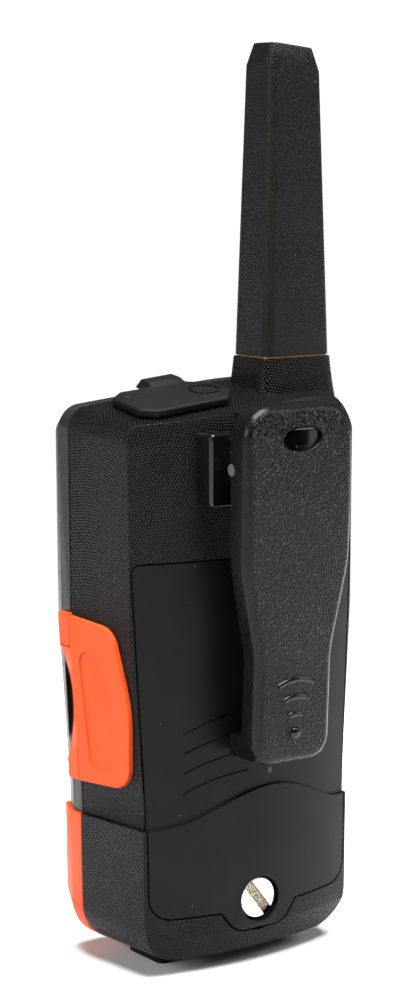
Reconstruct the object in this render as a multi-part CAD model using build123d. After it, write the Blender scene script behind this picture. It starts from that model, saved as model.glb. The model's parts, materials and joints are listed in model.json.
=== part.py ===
"""Rugged two-way handheld radio, built as the separate pieces that it comes apart into.

Frame: millimetres, +Z up. The front, with the display and the keys, faces -Y; the back, with the
battery door and the belt clip, faces +Y. The pieces are drawn about the parting plane, Y = 0, and
written with the origin on the floor, under the middle of the whole radio.
"""

from build123d import *
import math
import os

os.makedirs("parts", exist_ok=True)

# ---------------------------------------------------------------- overall form of the body
BASE_Z = 4.3                        # underside of the plain body
PEAK_Z = 125.4                      # top beside the antenna collar
HALF_TOP = 32.4                     # half width at the parting plane, at the top
BACK_Y = 24.0                       # crown of the back
FRONT_Y = -10.0                     # flat front face
SHOULDER_Z = PEAK_Z - 4.0           # top of the low shoulder, at +X
PEAK_X = -9.0
HALF_WIDE = HALF_TOP - 0.3          # half widths lower down
HALF_WAIST = HALF_TOP - 2.9
HALF_FOOT = HALF_TOP - 3.4
WIDE_Z = PEAK_Z - 49.4
WAIST_Z = 38.0
BEVEL_Y = FRONT_Y + 6.0             # where the front bevel begins
BEVEL_FRONT_Y = FRONT_Y + 4.0       # in front of this depth an outline is bevelled
BEVEL_IN = 3.0                      # how far the bevel comes in
SIDE_TAPER = 0.1366                 # the sides close in towards the back
TOP_FALL = 0.145                    # the top falls towards the back
FOOT_RADIUS = 9.0
LOW_SHOULDER_RADIUS = 5.0
HIGH_SHOULDER_RADIUS = 9.0
BLEND_RADIUS = 120.0
MIN_RADIUS = 0.4                    # inside corners are never sharper than this
CREASE_HALF = HALF_TOP - 2.4        # the crowned back meets the sides here
CREASE_DROP = 5.7
BACK_TOP_Z = PEAK_Z - 10.4          # the back leans in above this height
BACK_FOOT_Z = 9.0                   # and below this one
BACK_LEAN = 0.42
LEAN_FOOT = 14.0                    # how far the leaning parts of the back are drawn
LEAN_HEAD = 20.0
REACH = 60.0                        # longer than the body is wide, for cutting shapes

# ---------------------------------------------------------------- walls, seams and soft pads
WALL = 2.2
GAP = 0.25                          # seam and sliding clearance
HAIR = 0.05                         # running fit, radial
EASE = 0.15                         # loose fit round a screw, radial
OVERCUT = 1.0                       # how far a cutting shape passes the face that it cuts
PROUD = 0.8                         # the lower boot stands out by this
GRIP_PROUD = 1.0
PAD_BED = 1.2                       # depth of the bed that a soft pad sits in
FRONT_PAD_BED = 1.8
DOUBLER = 1.2                       # extra wall behind the front pads
GASKET_OUT = 1.85                   # the gasket lies between this depth and the inside of the wall
SEAM_WIDE = 0.35                    # the shadow groove along the parting line
SEAM_DEEP = 0.4
PAD_REACH_X = 8.0                   # the side pads are cut from the body outside this X

# ---------------------------------------------------------------- boot step
BOOT_SIDE_Z = 33.2
BOOT_LOW_X = 26.0                   # where the step's curve leaves the level, and its height there
BOOT_CREST_X = -4.5
BOOT_CREST_Z = 39.8
BOOT_RISE_X = 11.2                  # a point on the rising side of the curve
BOOT_RISE_Z = 36.4
BOOT_FALL_X = -17.5                 # and one on its falling side
BOOT_FALL_Z = 35.7

# ---------------------------------------------------------------- cells and their bay
CELL_R = 7.25
CELL_LENGTH = 50.5
CELL_PITCH = 2 * CELL_R + 0.5
CELL_Z = 28.0
CELL_NUB_R = 2.7
CELL_NUB = 1.2
CELL_EDGE_R = 0.6
BAY_FLOOR_Y = 4.9
BAY_FLOOR_THICK = 1.5
CELL_Y = BAY_FLOOR_Y + CELL_R + GAP
BAY_HALF = CELL_PITCH + CELL_R + 0.95
BAY_BASE_Z = CELL_Z - 5.4
BAY_TOP_Z = CELL_Z + CELL_LENGTH + 5.0
SEAL_WIDTH = 0.7
SEAL_DEPTH = 0.9
SEAL_TOP = 0.3                      # the seal starts this far under the door
CONTACT_HALF = 4.5
CONTACT_FRONT = 5.0                 # a contact plate reaches this far in front of a cell's centre
CONTACT_BEHIND = 4.0
CONTACT_THICK = 0.5
SPRING_R = 3.0
SPRING_WIRE_R = 0.4
SPRING_PITCH = 1.35

# ---------------------------------------------------------------- lock screw
LOCK_Z = 14.8
LOCK_HEAD_R = 4.55
LOCK_BORE_R = LOCK_HEAD_R + 0.45
LOCK_HEAD_THICK = 2.4
LOCK_FACE_Y = BACK_Y - 0.1
LOCK_EDGE_R = 0.4
LOCK_SLOT = 2.3
LOCK_SLOT_DEEP = 1.2
LOCK_SLOT_TURN = 38.0
LOCK_SHANK_R = 1.9
LOCK_NECK_CUT = 0.35                # the neck for the washer is this much thinner
LOCK_SHANK_END_Y = BAY_FLOOR_Y + 3.7
LOCK_TRAVEL = 2.8
BOSS_R = LOCK_BORE_R + 1.4
BOSS_ROOM = 0.6                     # the housing is hollowed this much wider than the boss
BOSS_BASE_Y = BACK_Y - 5.7
WASHER_THICK = 0.6
WASHER_R = 3.3
INSERT_R = 2.85
INSERT_FOOT_Y = 6.0
INSERT_HEAD_Y = BOSS_BASE_Y - LOCK_TRAVEL - 1.9

# ---------------------------------------------------------------- battery door
DOOR_TOP_Z = BAY_TOP_Z + 6.5
DOOR_BASE_Z = 13.6
DOOR_WALL = 2.2
DOOR_TOP_HALF = HALF_WIDE - 2.9
DOOR_WAIST_HALF = HALF_WAIST - 3.0
DOOR_BASE_HALF = HALF_WAIST - 3.3
DOOR_FRONT_Y = BACK_Y / 2           # the door's outline is drawn from this depth
DOOR_TOP_RADIUS = 1.6
DOOR_BASE_RADIUS = 5.0
DOOR_SIDE_RADIUS = 200.0
TONGUE_HALF = LOCK_BORE_R + 1.3
TONGUE_SHOULDER = TONGUE_HALF + 3.6
TONGUE_DROP = 0.4
TONGUE_Z = LOCK_Z - LOCK_BORE_R - 1.4
TONGUE_RADIUS = 5.2
RIB_COUNT = 4                       # shallow finger grooves on the door
RIB_PITCH = 4.3
RIB_DEPTH = 0.28
RIB_WIDE = 0.45
RIB_LOW_X = 18.4
RIB_LOW_Z = 53.2
RIB_HIGH_X = 3.0
RIB_HIGH_Z = 56.6
RIB_BOW = 0.8                       # how far a groove's middle rises over its chord

# ---------------------------------------------------------------- antenna
ANTENNA_X = 13.9 - HALF_TOP
ANTENNA_Y = 7.4
ANTENNA_WIDE = 17.8
ANTENNA_DEEP = 13.2
ANTENNA_TOP_WIDE = 13.9
ANTENNA_TOP_DEEP = 10.6
ANTENNA_TIP_WIDE = 11.2
ANTENNA_TIP_DEEP = 8.4
COLLAR_TOP_Z = PEAK_Z + 5.25
COLLAR_MID_Z = PEAK_Z - 2.6
COLLAR_BASE_Z = PEAK_Z - 8.4
ANTENNA_BASE_Z = COLLAR_TOP_Z + 0.35
ANTENNA_TIP_Z = ANTENNA_BASE_Z + 67.4
ANTENNA_CHAMFER_Z = ANTENNA_TIP_Z - 5.6
ANTENNA_TIP_DROP = 0.7
ANTENNA_TILT = 6.0
ANTENNA_EDGE_R = 2.4
ANTENNA_TIP_R = 0.5
ANTENNA_BORE_R = 3.4
ANTENNA_BORE_Z = ANTENNA_TIP_Z - 12.4
COLLAR_MARGIN = 0.8                 # the collar is wider than the whip by these, from the top down
COLLAR_MID_MARGIN = 2.8
COLLAR_FLARE = 5.4
COLLAR_RADII = (2.7, 3.6, 5.0)
RING_IN = 1.0                       # the ring in the joint is narrower than the whip by this
RING_STEM_FOOT = 4.0
RING_STEM_HEAD = 3.6
COIL_R = 2.3
COIL_WIRE_R = 0.35
COIL_PITCH = 2.5
COIL_MARGIN = 4.0

# ---------------------------------------------------------------- belt clip
CLIP_HALF = 15.5
CLIP_TOP_Z = PEAK_Z - 8.0
CLIP_BASE_Z = CLIP_TOP_Z - 15.4
CLIP_FACE_Y = BACK_Y + 3.8
CLIP_DEEP = 9.8                     # the block is cut from a bar this deep
CLIP_CORNER_R = 1.2
CLIP_EDGE_R = 0.8
CLIP_POST_X = 12.6
CLIP_POST_Z = CLIP_BASE_Z + 3.4
CLIP_POST_R = 1.6
CLIP_POST_END_Y = BACK_Y - 3.4
PIN_Y = BACK_Y + 8.4
PIN_Z = CLIP_TOP_Z - 7.0
PIN_R = 1.25
PIN_INSET = 0.35
LUG_R = PIN_R + 1.75
LUG_INNER = 6.6
LUG_OUTER = 10.6
CLIP_SPRING_PITCH = 1.3
CLIP_SPRING_WIRE_R = 0.45
CLIP_SPRING_OUT = 0.65              # the coil's centre line stands off the pin by this
LEVER_TOP_HALF = 14.0
LEVER_LOW_HALF = 9.9
LEVER_TOP_Z = CLIP_TOP_Z + 6.2
LEVER_BASE_Z = LEVER_TOP_Z - 76.2
LEVER_NECK_Z = LEVER_TOP_Z - 33.6
LEVER_TAIL_Z = LEVER_TOP_Z - 52.6
LEVER_TOP_Y = BACK_Y + 14.6
LEVER_BASE_Y = BACK_Y + 12.2
LEVER_RIM_TOP_Y = PIN_Y
LEVER_RIM_LOW_Y = BACK_Y + 6.6
LEVER_WALL = 1.9
LEVER_EDGE_R = 2.1
LEVER_HEAD_RADIUS = 6.8
LEVER_TAIL_RADIUS = 5.0
LEVER_NECK_RADIUS = 26.0
EYELET_X = -0.3
EYELET_Z = LEVER_TOP_Z - 7.0
EYELET_TURN = -4.0
EYELET_HALF_WIDE = 5.0
EYELET_HALF_TALL = 2.7
HOOK_HALF = 9.0
HOOK_Z = LEVER_BASE_Z + 0.9
HOOK_TALL = 4.8
HOOK_NOSE_R = 1.8
LATCH_HALF = 7.6
LATCH_FRONT_Y = BACK_Y + 1.2
LATCH_BACK_Y = BACK_Y + 4.6
LATCH_TOP_Z = CLIP_TOP_Z + 4.0
LATCH_EDGE_R = 0.9
LATCH_SCOOP_R = 3.9
LATCH_SCOOP_OFF = 2.6
LATCH_LIP = 1.2

# ---------------------------------------------------------------- front
WINDOW_HALF = 17.0
WINDOW_TOP_Z = PEAK_Z - 16.4
WINDOW_BASE_Z = WINDOW_TOP_Z - 23.0
WINDOW_THICK = 1.4
WINDOW_LEDGE = 1.5                  # the window rests on a ledge this wide
WINDOW_RADIUS = 2.5
WINDOW_BACK = 0.1                   # the window's face lies this far behind the front
LCD_HALF = 15.0
SPEAKER_Z = 42.0
SPEAKER_R = 17.5
SPEAKER_DEEP = 6.4
SPEAKER_STAND = 0.5                 # the speaker stands this far behind the front wall
SPEAKER_RIM = 1.6
MAGNET_R = 8.0
CONE_TOP_R = 5.0
CONE_TALL = 2.4
SLOT_TALL = 1.6
SLOT_PITCH = 3.6
SLOT_COUNT = 8
KEY_ROW_HIGH_Z = WINDOW_BASE_Z - 9.0
KEY_ROW_LOW_Z = KEY_ROW_HIGH_Z - 10.0
KEY_PITCH_HIGH = 14.0
KEY_LOW_X = 8.0
KEY_HALF_WIDE = 5.0
KEY_HALF_TALL = 3.0
KEY_RADIUS = 2.2
KEY_EDGE_R = 0.5
KEY_PROUD = 1.0
KEY_FLANGE = 0.8
KEY_FLANGE_THICK = 0.7
KEY_BORE_Y = FRONT_Y + 4.0
MEMBRANE_THICK = 0.9
MEMBRANE_HALF = 21.0
MEMBRANE_MARGIN = 4.5
DOME_R = 2.2
BOARD_Y = 1.0
BOARD_THICK = 1.6
BOARD_IN = 0.6                      # the main board clears the walls by this
DISPLAY_BOARD_Y = FRONT_Y + 5.4
DISPLAY_BOARD_THICK = 1.0
DISPLAY_BOARD_HALF = 22.0
SHIELD_HALF = 14.0
SHIELD_BASE_Z = 66.0
SHIELD_TOP_Z = 92.0
SHIELD_TALL = 3.2
SHIELD_WALL = 0.3
MIC_X = 8.0
MIC_Z = 17.6
MIC_R = 3.0
MIC_DEEP = 2.4
MIC_PORT_R = 0.8

# ---------------------------------------------------------------- side pads, talk bar and chin
TALK_Z = PEAK_Z - 32.9
TALK_HALF_TALL = 9.0
TALK_FRONT_Y = -3.4
TALK_BACK_Y = 7.4
TALK_RADIUS = 3.0
TALK_INNER_X = -20.0                # the bar's opening reaches in to here
TALK_PROUD = 0.8
TALK_DEEP = 1.5
TALK_PEG_Y = -0.6
TALK_PEG_R = 1.1
TALK_PEG_X = 4.5 - HALF_WIDE
SWITCH_DEEP = 4.8
SWITCH_TALL = 6.0
GRIP_BASE_Z = 40.6
GRIP_TOP_Z = 77.2
GRIP_BACK_Y = BACK_Y - 6.8
GRIP_PANEL_DEPTH = 0.45
SCOOP_TOP_Z = 70.2
SCOOP_BASE_Z = 44.0
SCOOP_DEPTH = 2.2
SCOOP_OUT = 1.2                     # the scoop's upper end lies this far outside the waist
CHIN_TOP_Z = 33.0
CHIN_TOP_FRONT_Z = 15.0
CHIN_SIDE = 5.0
CHIN_SLOPE = 12.0

# ---------------------------------------------------------------- feet, top cover, screws
FOOT_X = 14.2
FOOT_HALF = 5.8
FOOT_SOLE_HALF = 3.9
FOOT_FRONT_Y = -0.6
FOOT_BACK_Y = 13.0
FOOT_TRIM = 0.4                     # the sole is this much shorter at each end
FOOT_SPREAD = 1.2                   # and the root this much longer
FOOT_RADIUS_IN_PLAN = 2.0
COVER_THICK = 1.9
COVER_LIFT = 0.05
COVER_HINGE_Y = BACK_Y - 6.8
COVER_EDGE_R = 0.6
TAB_RISE = 0.9
RING_MARK_R = 3.4
RING_MARK_WIDE = 0.55
RING_MARK_DEEP = 0.25
JACK_X = 6.0
PORT_X = 16.0
SOCKET_Y = -9.0                     # both sockets lie this far in front of the hinge line
SCREW_HIGH_X = HALF_TOP - 9.3
SCREW_HIGH_Z = PEAK_Z - 14.1
SCREW_LOW_X = HALF_FOOT - 10.0
SCREW_LOW_Z = 17.4
SCREW_SHANK_R = 1.0
SCREW_HEAD_R = 1.9
SCREW_HEAD_THICK = 1.3
SCREW_SEAT_Y = 8.0
SCREW_TIP_Y = -5.0
RECESS_HALF = 1.1
RECESS_WIDE = 0.5
RECESS_FLOOR = 0.6
POST_R = 3.0
PLUG_THICK = 1.6
PLUG_GAP = 0.05
PLUG_FRONT_Y = 10.0


# ================================================================ helpers
def block(x0, x1, y0, y1, z0, z1):
    """A box between two corners."""
    centre = Pos((x0 + x1) / 2, (y0 + y1) / 2, (z0 + z1) / 2)
    return centre * Box(abs(x1 - x0), abs(y1 - y0), abs(z1 - z0))


def rod_along_y(x, z, radius, y0, y1):
    """A round bar that runs front to back."""
    return Pos(x, (y0 + y1) / 2, z) * Rot(90, 0, 0) * Cylinder(radius, y1 - y0)


def rod_along_x(y, z, radius, x0, x1):
    """A round bar that runs side to side."""
    return Pos((x0 + x1) / 2, y, z) * Rot(0, 90, 0) * Cylinder(radius, x1 - x0)


def rod_along_z(x, y, radius, z0, z1):
    """An upright round bar."""
    return Pos(x, y, (z0 + z1) / 2) * Cylinder(radius, z1 - z0)


def front_plane(y):
    """The plane of a front view at depth y: its own axes are X and Z."""
    return Plane(origin=(0, y, 0), x_dir=(1, 0, 0), z_dir=(0, -1, 0))


def side_plane(x):
    """The plane of a side view at x: its own axes are Y and Z."""
    return Plane(origin=(x, 0, 0), x_dir=(0, 1, 0), z_dir=(1, 0, 0))


def front_prism(points, radii, y0, y1):
    """An outline of X and Z corners, rounded and carried from depth y0 to y1."""
    wire = FilletPolyline(*points, radius=radii, close=True)
    face = front_plane(y1) * make_face(wire.edges())
    return extrude(face, y1 - y0)


def side_prism(points, radii, x0, x1):
    """An outline of Y and Z corners, rounded and carried from x0 to x1."""
    wire = FilletPolyline(*points, radius=radii, close=True)
    face = side_plane(x0) * make_face(wire.edges())
    return extrude(face, x1 - x0)


def rounded_bar(half_wide, half_tall, radius, x, z, y0, y1):
    """A bar with a rounded rectangular section, which runs front to back."""
    face = front_plane(y1) * Pos(x, z) * RectangleRounded(2 * half_wide, 2 * half_tall, radius)
    return extrude(face, y1 - y0)


# ================================================================ form of the body
def outline_face(y, grow):
    """The body's outline in front view at depth y, offset outwards by grow."""
    behind = max(y, 0.0)
    bevel = BEVEL_IN if y < BEVEL_FRONT_Y else 0.0
    side = grow - SIDE_TAPER * behind - bevel
    top = grow - TOP_FALL * behind - bevel
    base = BASE_Z - grow + bevel
    ease = grow - 0.5 * (SIDE_TAPER * behind + bevel)
    corners = [
        (HALF_FOOT + side, base),
        (HALF_WAIST + side, WAIST_Z),
        (HALF_WIDE + side, WIDE_Z),
        (HALF_TOP + side, SHOULDER_Z + top),
        (PEAK_X, PEAK_Z + top),
        (-HALF_TOP - side, PEAK_Z + top),
        (-HALF_WIDE - side, WIDE_Z),
        (-HALF_WAIST - side, WAIST_Z),
        (-HALF_FOOT - side, base),
    ]
    radii = [
        FOOT_RADIUS + ease,
        BLEND_RADIUS,
        BLEND_RADIUS,
        LOW_SHOULDER_RADIUS + ease,
        BLEND_RADIUS,
        HIGH_SHOULDER_RADIUS + ease,
        BLEND_RADIUS,
        BLEND_RADIUS,
        FOOT_RADIUS + ease,
    ]
    wire = FilletPolyline(*corners, radius=[max(r, MIN_RADIUS) for r in radii], close=True)
    return front_plane(y) * make_face(wire.edges())


def crown_form(grow):
    """A block whose back is crowned, and leans in at its top and at its foot."""
    radius = (CREASE_HALF**2 + CREASE_DROP**2) / (2 * CREASE_DROP)
    edge_x = 1.4 * CREASE_HALF
    edge_drop = radius - math.sqrt(radius**2 - edge_x**2)
    stations = [
        (BACK_FOOT_Z - LEAN_FOOT, LEAN_FOOT * BACK_LEAN),
        (BACK_FOOT_Z, 0.0),
        (BACK_TOP_Z, 0.0),
        (BACK_TOP_Z + LEAN_HEAD, LEAN_HEAD * BACK_LEAN),
    ]
    faces = []
    for z, lean in stations:
        apex = BACK_Y + grow - lean
        arc = ThreePointArc((-edge_x, apex - edge_drop, z), (0, apex, z), (edge_x, apex - edge_drop, z))
        sides = Polyline(
            (edge_x, apex - edge_drop, z),
            (edge_x, -2 * CREASE_HALF, z),
            (-edge_x, -2 * CREASE_HALF, z),
            (-edge_x, apex - edge_drop, z),
        )
        faces.append(make_face(arc.edges() + sides.edges()))
    return loft(faces, ruled=True)


def body_form(grow):
    """The whole body as one solid, offset outwards by grow."""
    depths = [FRONT_Y - grow, BEVEL_Y, 0.0, BACK_Y + 3.0]
    shell = loft([outline_face(y, grow) for y in depths], ruled=True)
    return shell & crown_form(grow)


def behind_parting(y=0.0):
    """Everything behind depth y."""
    return block(-REACH, REACH, y, y + REACH, -REACH, 4 * REACH)


def before_parting(y=0.0):
    """Everything in front of depth y."""
    return block(-REACH, REACH, y - REACH, y, -REACH, 4 * REACH)


def boot_prism():
    """The region under the S-shaped step: level at the sides and high in the middle."""
    curve = Spline(
        (-BOOT_LOW_X, BOOT_SIDE_Z),
        (BOOT_FALL_X, BOOT_FALL_Z),
        (BOOT_CREST_X, BOOT_CREST_Z),
        (BOOT_RISE_X, BOOT_RISE_Z),
        (BOOT_LOW_X, BOOT_SIDE_Z),
        tangents=[(1, 0), (1, 0)],
    )
    rest = Polyline(
        (BOOT_LOW_X, BOOT_SIDE_Z),
        (REACH, BOOT_SIDE_Z),
        (REACH, -REACH),
        (-REACH, -REACH),
        (-REACH, BOOT_SIDE_Z),
        (-BOOT_LOW_X, BOOT_SIDE_Z),
    )
    face = front_plane(REACH) * make_face(curve.edges() + rest.edges())
    return extrude(face, REACH)


def door_prism(grow):
    """The battery door's outline, offset outwards by grow."""
    right = [
        (DOOR_TOP_HALF + grow, DOOR_TOP_Z + grow),
        (DOOR_WAIST_HALF + grow, WAIST_Z),
        (DOOR_BASE_HALF + grow, DOOR_BASE_Z - grow),
        (TONGUE_SHOULDER + grow, DOOR_BASE_Z - TONGUE_DROP - grow),
        (TONGUE_HALF + grow, TONGUE_Z - grow),
    ]
    left = [(-x, z) for x, z in reversed(right)]
    half = [DOOR_TOP_RADIUS + grow, DOOR_SIDE_RADIUS, DOOR_BASE_RADIUS + grow, 1.0, TONGUE_RADIUS + grow]
    return front_prism(right + left, half + half[::-1], DOOR_FRONT_Y, REACH)


FORMS = {}


def form(grow):
    """The body form for one offset, made once."""
    if grow not in FORMS:
        FORMS[grow] = body_form(grow)
    return FORMS[grow]


# Forms that several pieces share.
PLAIN = form(0.0)
INNER = form(-WALL)
OUTSIDE = PLAIN + (form(PROUD) & boot_prism() & behind_parting())


def shell_band(outer, inner):
    """The layer of the body between two offsets of its surface."""
    return form(outer) - form(inner)


# ================================================================ soft pads
def grip_outline(grow, x0, x1):
    """The side pad behind the parting plane, in side view."""
    points = [
        (-0.01, GRIP_TOP_Z + grow),
        (GRIP_BACK_Y - 3.6 + grow, GRIP_TOP_Z - 1.2 + grow),
        (GRIP_BACK_Y + 0.5 + grow, (GRIP_TOP_Z + GRIP_BASE_Z) / 2),
        (GRIP_BACK_Y - 1.0 + grow, GRIP_BASE_Z + 0.8 - grow),
        (-0.01, GRIP_BASE_Z - grow),
    ]
    return side_prism(points, [0, 5.0, 30.0, 5.5, 0], x0, x1)


def back_grip(side):
    """A soft pad on one side of the back housing, with a shallow panel sunk in its face."""
    reach = (PAD_REACH_X, REACH) if side > 0 else (-REACH, -PAD_REACH_X)
    pad = shell_band(GRIP_PROUD, -PAD_BED) & grip_outline(0.0, *reach) & behind_parting()
    pad = pad - door_prism(GAP)
    points = [
        (2.6, SCOOP_TOP_Z),
        (9.6, SCOOP_TOP_Z - 1.0),
        (11.8, (SCOOP_TOP_Z + SCOOP_BASE_Z) / 2),
        (10.6, SCOOP_BASE_Z + 0.6),
        (4.2, SCOOP_BASE_Z),
    ]
    panel = side_prism(points, [2.5, 4.0, 20.0, 3.5, 2.5], *reach)
    skin = shell_band(GRIP_PROUD + OVERCUT, GRIP_PROUD - GRIP_PANEL_DEPTH)
    return pad - (skin & panel)


def finger_scoop(side):
    """The hollow for a fingertip, which deepens towards the front."""
    faces = []
    for y, depth in ((0.5, 0.1), (BEVEL_Y - 1.0, SCOOP_DEPTH * 1.25)):
        outer = side * (HALF_WIDE + GRIP_PROUD + 3.0)
        line = side * (HALF_WAIST + SCOOP_OUT + GRIP_PROUD)
        deep = line - side * depth
        high = line + side * 1.0
        arc = ThreePointArc(
            (line - side * 0.4, y, SCOOP_BASE_Z),
            (deep, y, (SCOOP_TOP_Z + SCOOP_BASE_Z) / 2 + 2.0),
            (high, y, SCOOP_TOP_Z),
        )
        sides = Polyline(
            (high, y, SCOOP_TOP_Z),
            (outer, y, SCOOP_TOP_Z),
            (outer, y, SCOOP_BASE_Z),
            (line - side * 0.4, y, SCOOP_BASE_Z),
        )
        faces.append(make_face(arc.edges() + sides.edges()))
    return loft(faces, ruled=True)


def front_grip_region(side, grow):
    """The part of the front shell's side that its pad covers."""
    x0, x1 = (PAD_REACH_X, REACH) if side > 0 else (-REACH, -PAD_REACH_X)
    return block(x0, x1, BEVEL_Y - grow, -0.0, GRIP_BASE_Z - grow, GRIP_TOP_Z + 0.4 + grow)


def front_grip(side):
    """A soft pad on one side of the front shell, hollowed for a fingertip."""
    pad = shell_band(GRIP_PROUD, -FRONT_PAD_BED) & front_grip_region(side, 0.0)
    return pad - finger_scoop(side)


def chin_region():
    """The lower part of the front shell, which the bumper wraps."""
    points = [
        (-REACH, -REACH),
        (REACH, -REACH),
        (REACH, CHIN_TOP_Z),
        (HALF_WAIST - CHIN_SIDE, CHIN_TOP_Z),
        (HALF_WAIST - CHIN_SLOPE, CHIN_TOP_FRONT_Z),
        (-HALF_WAIST + CHIN_SLOPE, CHIN_TOP_FRONT_Z),
        (-HALF_WAIST + CHIN_SIDE, CHIN_TOP_Z),
        (-REACH, CHIN_TOP_Z),
    ]
    return front_prism(points, [0, 0, 0, 3.0, 8.0, 8.0, 3.0, 0], -REACH, 0.0)


def chin_bumper():
    """The soft bumper round the foot of the front shell."""
    return shell_band(PROUD, -PAD_BED) & chin_region() & before_parting()


# ================================================================ shells
def gasket():
    """The soft ring in the seam between the two shells."""
    slab = block(-REACH, REACH, -0.5, 0.5, -REACH, 4 * REACH)
    ring = shell_band(-GASKET_OUT, -WALL) & slab
    return ring - talk_outline(GAP, -REACH, TALK_INNER_X)


def seam_groove():
    """The shadow groove that runs round the outside of the parting line."""
    slab = block(-REACH, REACH, -SEAM_WIDE, 0.0, -REACH, 4 * REACH)
    return shell_band(OVERCUT, -SEAM_DEEP) & slab


def collar():
    """The flared collar that the antenna stands in."""
    faces = []
    heights = (COLLAR_TOP_Z, COLLAR_MID_Z, COLLAR_BASE_Z)
    margins = (COLLAR_MARGIN, COLLAR_MID_MARGIN, COLLAR_FLARE)
    for z, margin, radius in zip(heights, margins, COLLAR_RADII):
        section = RectangleRounded(ANTENNA_WIDE + margin, ANTENNA_DEEP + margin, radius)
        faces.append(Pos(ANTENNA_X, ANTENNA_Y, z) * section)
    solid = loft(faces)
    return solid & behind_parting()


def screw_places():
    """Where the four screws that close the shells stand."""
    high = [(x, SCREW_HIGH_Z) for x in (-SCREW_HIGH_X, SCREW_HIGH_X)]
    low = [(x, SCREW_LOW_Z) for x in (-SCREW_LOW_X, SCREW_LOW_X)]
    return high + low


def key_places():
    """The name and the centre of each key on the front."""
    return {
        "call_key": (-KEY_PITCH_HIGH, KEY_ROW_HIGH_Z),
        "power_key": (0.0, KEY_ROW_HIGH_Z),
        "scan_key": (KEY_PITCH_HIGH, KEY_ROW_HIGH_Z),
        "down_key": (-KEY_LOW_X, KEY_ROW_LOW_Z),
        "up_key": (KEY_LOW_X, KEY_ROW_LOW_Z),
    }


def talk_outline(grow, x0, x1):
    """The push-to-talk bar's outline in side view."""
    points = [
        (TALK_FRONT_Y - grow, TALK_Z - TALK_HALF_TALL - grow),
        (TALK_BACK_Y + grow, TALK_Z - TALK_HALF_TALL - grow),
        (TALK_BACK_Y + grow, TALK_Z + TALK_HALF_TALL + grow),
        (TALK_FRONT_Y - grow, TALK_Z + TALK_HALF_TALL + grow),
    ]
    return side_prism(points, TALK_RADIUS + grow, x0, x1)


def front_shell():
    """The front casing, with openings for the window, keys, speaker and microphone."""
    shell = (PLAIN & before_parting()) - INNER
    for side in (-1, 1):
        region = front_grip_region(side, 1.0) & before_parting(-0.6)
        shell = shell + (shell_band(-WALL + 0.2, -WALL - DOUBLER) & region)
    post_top = BOARD_Y - 0.1
    for x, z in screw_places():
        shell = shell + rod_along_y(x, z, POST_R, FRONT_Y + WALL - 0.3, post_top)
        shell = shell - rod_along_y(x, z, SCREW_SHANK_R + HAIR, SCREW_TIP_Y - 0.6, post_top + OVERCUT)
    for side in (-1, 1):
        bed = shell_band(GRIP_PROUD + OVERCUT, -FRONT_PAD_BED) & front_grip_region(side, 0.0)
        shell = shell - bed - finger_scoop(side)
    shell = shell - (shell_band(PROUD + OVERCUT, -PAD_BED) & chin_region() & before_parting())
    window_z = (WINDOW_BASE_Z + WINDOW_TOP_Z) / 2
    window_tall = (WINDOW_TOP_Z - WINDOW_BASE_Z) / 2
    ledge = WINDOW_LEDGE
    sill = FRONT_Y + WINDOW_THICK + WINDOW_BACK
    face = FRONT_Y - OVERCUT
    shell = shell - rounded_bar(WINDOW_HALF, window_tall, WINDOW_RADIUS, 0, window_z, face, sill)
    shell = shell - rounded_bar(WINDOW_HALF - ledge, window_tall - ledge, ledge, 0, window_z, face, 0)
    for x, z in key_places().values():
        wide, tall = KEY_HALF_WIDE + GAP, KEY_HALF_TALL + GAP
        shell = shell - rounded_bar(wide, tall, KEY_RADIUS + GAP, x, z, face, KEY_BORE_Y)
    for index in range(SLOT_COUNT):
        z = SPEAKER_Z + (index - (SLOT_COUNT - 1) / 2) * SLOT_PITCH
        reach = math.sqrt((SPEAKER_R - 1.5) ** 2 - (z - SPEAKER_Z) ** 2)
        shell = shell - rounded_bar(reach, SLOT_TALL / 2, SLOT_TALL / 2 - 0.01, 0, z, face, face + 4.0)
    shell = shell - rod_along_y(MIC_X, MIC_Z, MIC_PORT_R, face, KEY_BORE_Y)
    shell = shell - talk_outline(GAP, -REACH, TALK_INNER_X)
    return shell - gasket() - seam_groove()


def housing_cavities():
    """Everything that is hollowed out of the back housing."""
    space_y = BAY_FLOOR_Y - BAY_FLOOR_THICK
    hollow = INNER & block(-REACH, REACH, 0.0, space_y, -REACH, 4 * REACH)
    head = INNER & block(-REACH, REACH, 0.0, BACK_Y, DOOR_TOP_Z + 2.0, 4 * REACH)
    bay = block(-BAY_HALF, BAY_HALF, BAY_FLOOR_Y, REACH, BAY_BASE_Z, BAY_TOP_Z)
    door_room = door_prism(GAP) - crown_form(-DOOR_WALL - 2 * HAIR)
    boss_room = rod_along_y(0, LOCK_Z, BOSS_R + BOSS_ROOM, BOSS_BASE_Y - 4.1, REACH)
    return hollow + head, bay, door_room, boss_room


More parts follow.
